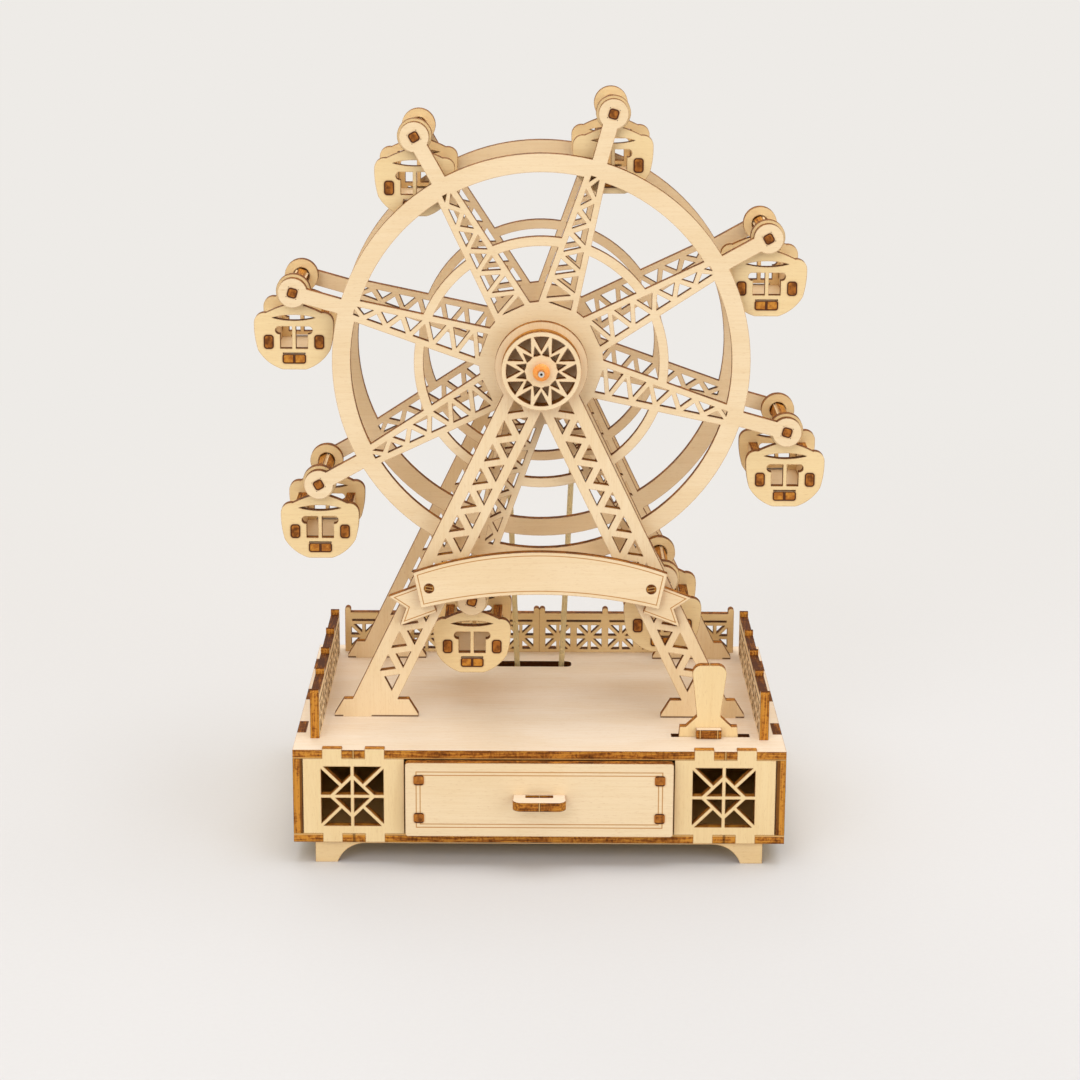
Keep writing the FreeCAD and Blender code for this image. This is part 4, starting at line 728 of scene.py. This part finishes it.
def cord_material():
    """Clear elastic belt, yellow and cloudy."""
    material, tree, shader = new_material("clear_elastic")
    cloud = tree.noise(tree.place_mm(), scale=0.35, detail=3.0)
    tree.feed(shader["Base Color"], tree.mix(cloud, CORD, CORD_CLOUD))
    tree.feed(shader["Roughness"], tree.ramp(cloud, 0.3, 0.7, 0.25, 0.42))
    shader["Transmission Weight"].default_value = 0.25
    shader["IOR"].default_value = 1.42
    return material


def tube_material():
    """Milky plastic tube with fine lines from the die."""
    material, tree, shader = new_material("milky_tube")
    x, y, z = tree.axes(tree.place_mm())
    drawn = tree.noise(tree.joined(x, tree.times(y, 0.04), z), scale=3.0)
    tree.feed(shader["Base Color"], tree.mix(drawn, TUBE, TUBE_LINE))
    tree.feed(shader["Roughness"], tree.ramp(drawn, 0.3, 0.7, 0.35, 0.55))
    shader["Subsurface Weight"].default_value = 0.2
    shader["Subsurface Radius"].default_value = (1.0 * MM, 1.0 * MM, 0.8 * MM)
    return material


# ---------------------------------------------------------------- which sheet each piece is cut from

X_SHEETS = ("left_side_panel", "right_side_panel", "left_partition", "right_partition",
            "left_fence", "right_fence", "drawer_left", "drawer_right")
Z_SHEETS = ("deck", "floor_panel", "drawer_floor", "drawer_pull", "lever_wedge")
Y_SHEETS = ("back_panel", "bearing_wall", "left_lattice_panel", "right_lattice_panel",
            "front_foot_rail", "rear_foot_rail", "back_fence_right", "back_fence_left",
            "front_frame", "rear_frame", "banner", "banner_tail_left", "banner_tail_right",
            "rosette", "rosette_rings", "wheel_disc_front", "wheel_disc_rear",
            "driven_pulley_core", "driven_pulley_flanges", "drive_pulley_core",
            "drive_pulley_flanges", "crank_arm", "drawer_front", "drawer_back", "stop_lever")
STACKED = ("rosette_rings", "driven_pulley_flanges", "drive_pulley_flanges")
UPRIGHT_GRAIN = ("left_lattice_panel", "right_lattice_panel", "stop_lever", "front_frame", "rear_frame")

TONED_SHEETS = {
    PINK_CREAM: ("deck", "drawer_pull", "lever_wedge"),
    YELLOW_CREAM: ("left_lattice_panel", "right_lattice_panel", "stop_lever", "left_side_panel",
                   "right_side_panel", "back_panel", "back_fence_right", "back_fence_left"),
    # The foot rails' tone holds painted shade.
    FOOT_SHADE_CREAM: ("front_foot_rail", "rear_foot_rail"),
    # The inside pieces' tone holds painted shade.
    INNER_SHADE_TAN: ("floor_panel", "bearing_wall", "left_partition", "right_partition")}
BURN = {"front_frame": 0.72, "rear_frame": 0.75, "wheel_disc_front": 0.68, "wheel_disc_rear": 0.72,
        "rosette_rings": 0.15, "back_fence_right": 0.72, "back_fence_left": 0.72,
        "left_lattice_panel": 0.45, "right_lattice_panel": 0.45, "deck": deck_burn, "floor_panel": 0.34,
        "left_side_panel": 0.14, "right_side_panel": 0.14, "left_fence": 0.2, "right_fence": 0.2,
        "drawer_pull": 0.4}
UPPER_BURN = {"front_frame": -0.35, "rear_frame": -0.2, "left_fence": 0.72, "right_fence": 0.72,
              "left_side_panel": 0.5, "right_side_panel": 0.5, "left_lattice_panel": -0.15,
              "right_lattice_panel": -0.15, "stop_lever": -0.1}
LINES = {"drawer_front": (drawer_lines, ENGRAVED), "banner": (banner_lines, ENGRAVED),
         "banner_tail_left": (tail_lines, ENGRAVED), "banner_tail_right": (tail_lines, ENGRAVED),
         "front_frame": (foot_scorch_and_gap_shade, DARK_EDGE), "rear_frame": (foot_scorch_and_gap_shade, DARK_EDGE)}
ENDS = {"wheel_disc_front": pin_ends, "wheel_disc_rear": pin_ends, "drawer_front": drawer_tab_ends}
VENEERS = {"deck": (0.06, 0.06), "floor_panel": (0.9, 0.1)}
EDGE_DARK_DEPTHS = {"left_side_panel": (0.7, 0.78), "right_side_panel": (0.42, 0.34)}
LATTICE_X_MM = middle_mm("right_lattice_panel").x
BRIDGES = {"deck": (-LATTICE_X_MM, LATTICE_X_MM), "floor_panel": (-LATTICE_X_MM, LATTICE_X_MM),
           "drawer_pull": (0.0,), "stop_lever": (-3.95,), "lever_wedge": (-2.9, 2.9)}
BRIDGES_WITHOUT_STUB = ("floor_panel",)


def put_on(node, *materials):
    """Gives a piece its materials, one for each slot."""
    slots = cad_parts[node].data.materials
    slots.clear()
    for material in materials:
        slots.append(material)


def grain_direction(node, axis):
    """Upright in the sheets listed so, front to back in sheets that face sideways, across in the others."""
    if node in UPRIGHT_GRAIN:
        return AXIS_Z
    return AXIS_Y if axis == AXIS_X else AXIS_X


def finish_sheet(node, axis, seed):
    """Gives a sheet its plywood, with the tone, soot and marks that the tables above say."""
    start = low_mm(node).y if node in STACKED else middle_mm(node).dot(Vector(axis)) - PLY_MM / 2
    tone = next((tone for tone, nodes in TONED_SHEETS.items() if node in nodes), CREAM)
    bridges = [middle_mm(node).x + offset for offset in BRIDGES.get(node, ())]
    put_on(node, plywood(
        node + "_ply", axis, start, grain_direction(node, axis), tone, BURN.get(node, EVEN_BURN), seed,
        lines=LINES.get(node), ends=ENDS.get(node), bridges=bridges,
        pale_stubs=node not in BRIDGES_WITHOUT_STUB, veneer=VENEERS.get(node),
        dark_depths=EDGE_DARK_DEPTHS.get(node), upper=UPPER_BURN.get(node, 0.0)))


seed = 0.0
for axis, sheets in ((AXIS_X, X_SHEETS), (AXIS_Y, Y_SHEETS), (AXIS_Z, Z_SHEETS)):
    for node in sheets:
        seed += 1.0
        finish_sheet(node, axis, seed)


# ---------------------------------------------------------------- drawer sides: tabs that show in its front


def finish_drawer_sides():
    """The tabs' ends take the front's own finish, which draws them with round corners."""
    own, tab_end = 0, 1
    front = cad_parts["drawer_front"].data.materials[0]
    face = low_mm("drawer_front").y
    for node in ("drawer_left", "drawer_right"):
        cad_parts[node].data.materials.append(front)
        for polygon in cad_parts[node].data.polygons:
            flush = abs(polygon.center.y / MM - face) < FLUSH_MM and abs(polygon.normal.y) > FACING
            polygon.material_index = tab_end if flush else own


finish_drawer_sides()


# ---------------------------------------------------------------- gondolas: plates, walls and floor

PLATE, WALL, FLOOR = range(3)


def gondola_materials():
    """Plywood of a gondola's plates, walls and floor, in the order of their slots."""
    start = low_mm("gondola_1").y
    plate = plywood("gondola_plate_ply", AXIS_Y, start, AXIS_X, YELLOW_CREAM, burn=0.68, seed=91.0,
                    ends=gondola_tab_ends)
    wall = plywood("gondola_wall_ply", AXIS_X, 0.0, AXIS_Y, seed=92.0)
    floor = plywood("gondola_floor_ply", AXIS_Z, 0.0, AXIS_X, burn=0.4, seed=93.0)
    return plate, wall, floor


def gondola_piece(place, normal, depth_in, depth_all):
    """Which piece a face belongs to, from its middle, its direction and how deep it lies from the front."""
    slack = 0.02
    floor_top = FLOOR_TAB_MM[1] - 0.1
    beside = abs(abs(place.x) - WALL_X_MM) < PLY_MM / 2 + slack
    in_plate = min(depth_in, depth_all - depth_in) < PLY_MM + slack
    if not in_plate:
        return WALL if beside and place.z > floor_top else FLOOR
    on_outside = abs(normal.y) > FACING and not FLUSH_MM < depth_in < depth_all - FLUSH_MM
    if on_outside:
        return PLATE
    if beside and WALL_TAB_MM[0] < place.z < WALL_TAB_MM[1]:
        return WALL
    in_floor_tab = abs(place.x) < FLOOR_HALF_TAB_MM + 0.1 and FLOOR_TAB_MM[0] < place.z < FLOOR_TAB_MM[1]
    return FLOOR if in_floor_tab else PLATE


def finish_gondolas():
    """Sorts every gondola's faces into plates, walls and floor."""
    materials = gondola_materials()
    for index in range(GONDOLAS):
        node = "gondola_%d" % (index + 1)
        put_on(node, *materials)
        angle = REST_ANGLE + index * SPOKE_STEP
        pin = HUB + Vector((math.sin(angle), 0.0, math.cos(angle))) * PIN_CIRCLE_MM
        low, high = low_mm(node), high_mm(node)
        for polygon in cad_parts[node].data.polygons:
            place = polygon.center / MM
            depth_in, depth_all = place.y - low.y, high.y - low.y
            polygon.material_index = gondola_piece(place - pin, polygon.normal, depth_in, depth_all)


finish_gondolas()


# ---------------------------------------------------------------- strips, struts, pegs and rods


def finish_strips():
    """Strips round the wheel: pale on their flat sides, burnt on their narrow sides, and with the discs'
    own finish on the pins' ends, which draws them with round corners."""
    narrow_side, flat_side, pin_end = range(3)
    flat = sanded_wood("strip_face_wood", AXIS_Y, CREAM, seed=81.0)
    burnt = burnt_wood("strip_edge_burnt", AXIS_X, start=0.3, burn=0.3)
    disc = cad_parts["wheel_disc_front"].data.materials[0]
    for node, thick_is_radial, step in (("gondola_pin_strips_a", False, SPOKE_STEP),
                                        ("gondola_pin_strips_b", True, SPOKE_STEP),
                                        ("hub_struts", True, 2 * SPOKE_STEP)):
        put_on(node, burnt, flat, disc)
        low, high = low_mm(node).y, high_mm(node).y
        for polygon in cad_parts[node].data.polygons:
            place = polygon.center / MM
            turn = math.atan2(place.x, place.z - HUB.z)
            spoke = REST_ANGLE + round((turn - REST_ANGLE) / step) * step
            radial = Vector((math.sin(spoke), 0.0, math.cos(spoke)))
            side = Vector((math.cos(spoke), 0.0, -math.sin(spoke)))
            thick = radial if thick_is_radial else side
            at_end = min(place.y - low, high - place.y) < FLUSH_MM and abs(polygon.normal.y) > FACING
            if at_end and node != "hub_struts":
                polygon.material_index = pin_end
            else:
                polygon.material_index = flat_side if abs(polygon.normal.dot(thick)) > FACING else narrow_side


finish_strips()
put_on("crank_axle_a", plywood("crank_axle_a_ply", AXIS_X, -PLY_MM / 2, AXIS_Y, seed=83.0))
put_on("crank_axle_b", plywood("crank_axle_b_ply", AXIS_Z, middle_mm("crank_axle_b").z - PLY_MM / 2,
                               AXIS_Y, seed=84.0))
put_on("banner_pins", striped_peg())
put_on("crank_knob", sanded_wood("turned_knob_wood", AXIS_Y, CREAM, seed=85.0))

steel = steel_material()
silicone = silicone_material()
put_on("wheel_axle", steel)
put_on("crank_pin", steel)
put_on("axle_spacers", tube_material())
put_on("drive_belt", cord_material())


# ---------------------------------------------------------------- silicone beads

BEAD_STEPS = 48
SHOULDER_STEPS = 8
SHOULDER_SHARE = 0.49


def bead(name, node, body):
    """Soft bead with round shoulders and a tight bore, turned about the rod that it grips."""
    low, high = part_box(node)
    centre = (low + high) / 2
    radius = (high.x - low.x) / 2
    length = high.y - low.y
    bore = ROD_RADIUS_MM * MM
    shoulder = SHOULDER_SHARE * length
    profile = [(bore, 0.0), (radius - shoulder, 0.0)]
    for step in range(1, SHOULDER_STEPS + 1):
        angle = math.radians(90 / SHOULDER_STEPS * step)
        profile.append((radius - shoulder * (1 - math.sin(angle)), shoulder * (1 - math.cos(angle))))
    profile += [(across, length - along) for across, along in reversed(profile)]
    mesh = bpy.data.meshes.new(name)
    shape = bmesh.new()
    rings = []
    for step in range(BEAD_STEPS):
        turn = 2 * math.pi * step / BEAD_STEPS
        ring = [shape.verts.new((centre.x + across * math.cos(turn), low.y + along,
                                 centre.z + across * math.sin(turn))) for across, along in profile]
        rings.append(ring)
    for step in range(BEAD_STEPS):
        here, there = rings[step], rings[(step + 1) % BEAD_STEPS]
        for index in range(len(profile)):
            after = (index + 1) % len(profile)
            shape.faces.new((here[index], here[after], there[after], there[index]))
    bmesh.ops.recalc_face_normals(shape, faces=shape.faces)
    for face in shape.faces:
        face.smooth = True
    shape.to_mesh(mesh)
    shape.free()
    mesh.materials.append(silicone)
    piece = bpy.data.objects.new(name, mesh)
    bpy.context.scene.collection.objects.link(piece)
    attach(piece, body)
    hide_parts(node)


bead("axle_bead_front", "axle_cap_front", "wheel")
bead("axle_bead_rear", "axle_cap_rear", "wheel")
bead("crank_pin_bead", "crank_pin_cap", "crank")


# ---------------------------------------------------------------- floor, light, camera


def seen_directly(tree):
    """1 for what is seen by the camera, in a gloss or through clear stuff, 0 for what only gives light."""
    paths = tree.add("ShaderNodeLightPath").outputs
    return tree.most(paths["Is Camera Ray"], paths["Is Glossy Ray"], paths["Is Transmission Ray"])


def add_floor(radius=9.0, corners=64):
    """Pale paper that keeps the toy's shadow near it and stays evenly pale far away."""
    mesh = bpy.data.meshes.new("floor")
    turns = [2 * math.pi * corner / corners for corner in range(corners)]
    points = [(radius * math.cos(turn), radius * math.sin(turn), 0.0) for turn in turns]
    mesh.from_pydata(points, [], [list(range(corners))])
    material, tree, shader = new_material("floor_paper")
    place = tree.add("ShaderNodeTexCoord").outputs["Object"]
    fibres = tree.noise(place, scale=600.0)
    tree.feed(shader["Base Color"], tree.mix(fibres, FLOOR_PAPER, FLOOR_FIBRE))
    shader["Roughness"].default_value = 0.9
    shader["Specular IOR Level"].default_value = 0.2
    away = tree.ramp(tree.vector("LENGTH", place), 0.2, 0.75)
    glow = tree.add("ShaderNodeEmission", {"Color": PAPER, "Strength": 1.0})
    surface = tree.tree.nodes["Material Output"].inputs["Surface"]
    both = tree.add("ShaderNodeMixShader", {0: tree.times(seen_directly(tree), away),
                                            1: surface.links[0].from_socket,
                                            2: glow.outputs[0]})
    tree.feed(surface, both.outputs[0])
    mesh.materials.append(material)
    floor = bpy.data.objects.new("floor", mesh)
    bpy.context.scene.collection.objects.link(floor)


COOL_TINT = (0.97, 0.985, 1.0)
WARM_TINT = (1.0, 0.96, 0.88)
ROOM_TINT = (1.0, 0.87, 0.64, 1.0)
ROOM_STRENGTH = 0.68


def add_lamp(name, place, aim_height, width, power, tint):
    """Round soft lamp that points at that height on the toy's middle line."""
    lamp = bpy.data.lights.new(name, "AREA")
    lamp.shape = "DISK"
    lamp.size = width
    lamp.energy = power
    lamp.color = tint
    holder = bpy.data.objects.new(name, lamp)
    ahead = Vector((0.0, 0.0, aim_height)) - Vector(place)
    holder.location = place
    holder.rotation_euler = ahead.to_track_quat("-Z", "Y").to_euler()
    bpy.context.scene.collection.objects.link(holder)


def add_world():
    """Warm soft light from all round; where the room itself is seen, it is as pale as the floor."""
    world = bpy.data.worlds.new("studio")
    world.use_nodes = True
    world.node_tree.nodes.clear()
    tree = Tree(world.node_tree)
    room = tree.add("ShaderNodeBackground", {"Color": ROOM_TINT, "Strength": ROOM_STRENGTH})
    wall = tree.add("ShaderNodeBackground", {"Color": PAPER, "Strength": 1.0})
    both = tree.add("ShaderNodeMixShader", {0: seen_directly(tree), 1: room.outputs[0], 2: wall.outputs[0]})
    output = tree.add("ShaderNodeOutputWorld")
    tree.feed(output.inputs["Surface"], both.outputs[0])
    bpy.context.scene.world = world


def add_camera():
    """Camera 0.92 m in front of the toy and 0.33 m up, looking 14.5 degrees down."""
    lens_mm, sensor_mm = 91.749, 36.0
    place_mm = Vector((-2.199, -920.848, 332.501))
    yaw, pitch, roll = math.radians(0.133), math.radians(14.515), math.radians(0.303)
    ahead = Vector((math.sin(yaw) * math.cos(pitch), math.cos(yaw) * math.cos(pitch), -math.sin(pitch)))
    level = Vector((math.cos(yaw), -math.sin(yaw), 0.0))
    up = level.cross(ahead)
    right = level * math.cos(roll) + up * math.sin(roll)
    crown = up * math.cos(roll) - level * math.sin(roll)
    camera = bpy.data.cameras.new("camera")
    camera.lens = lens_mm
    camera.sensor_width = sensor_mm
    camera.clip_start = 0.05
    camera.clip_end = 50.0
    holder = bpy.data.objects.new("camera", camera)
    turn = Matrix((right, crown, -ahead)).transposed().to_4x4()
    holder.matrix_world = Matrix.Translation(place_mm * MM) @ turn
    bpy.context.scene.collection.objects.link(holder)
    bpy.context.scene.camera = holder


add_floor()
add_lamp("key_softbox", (-0.5, -1.25, 0.9), 0.1, 0.9, 5.2, COOL_TINT)
add_lamp("top_softbox", (0.2, 0.05, 1.4), 0.08, 1.4, 9.7, COOL_TINT)
add_lamp("fill_softbox", (0.95, -1.1, 0.55), 0.1, 0.9, 2.9, COOL_TINT)
add_lamp("back_softbox", (-0.35, 1.2, 0.75), 0.08, 1.0, 3.2, WARM_TINT)
add_world()
add_camera()
bpy.context.scene.view_settings.view_transform = "Standard"
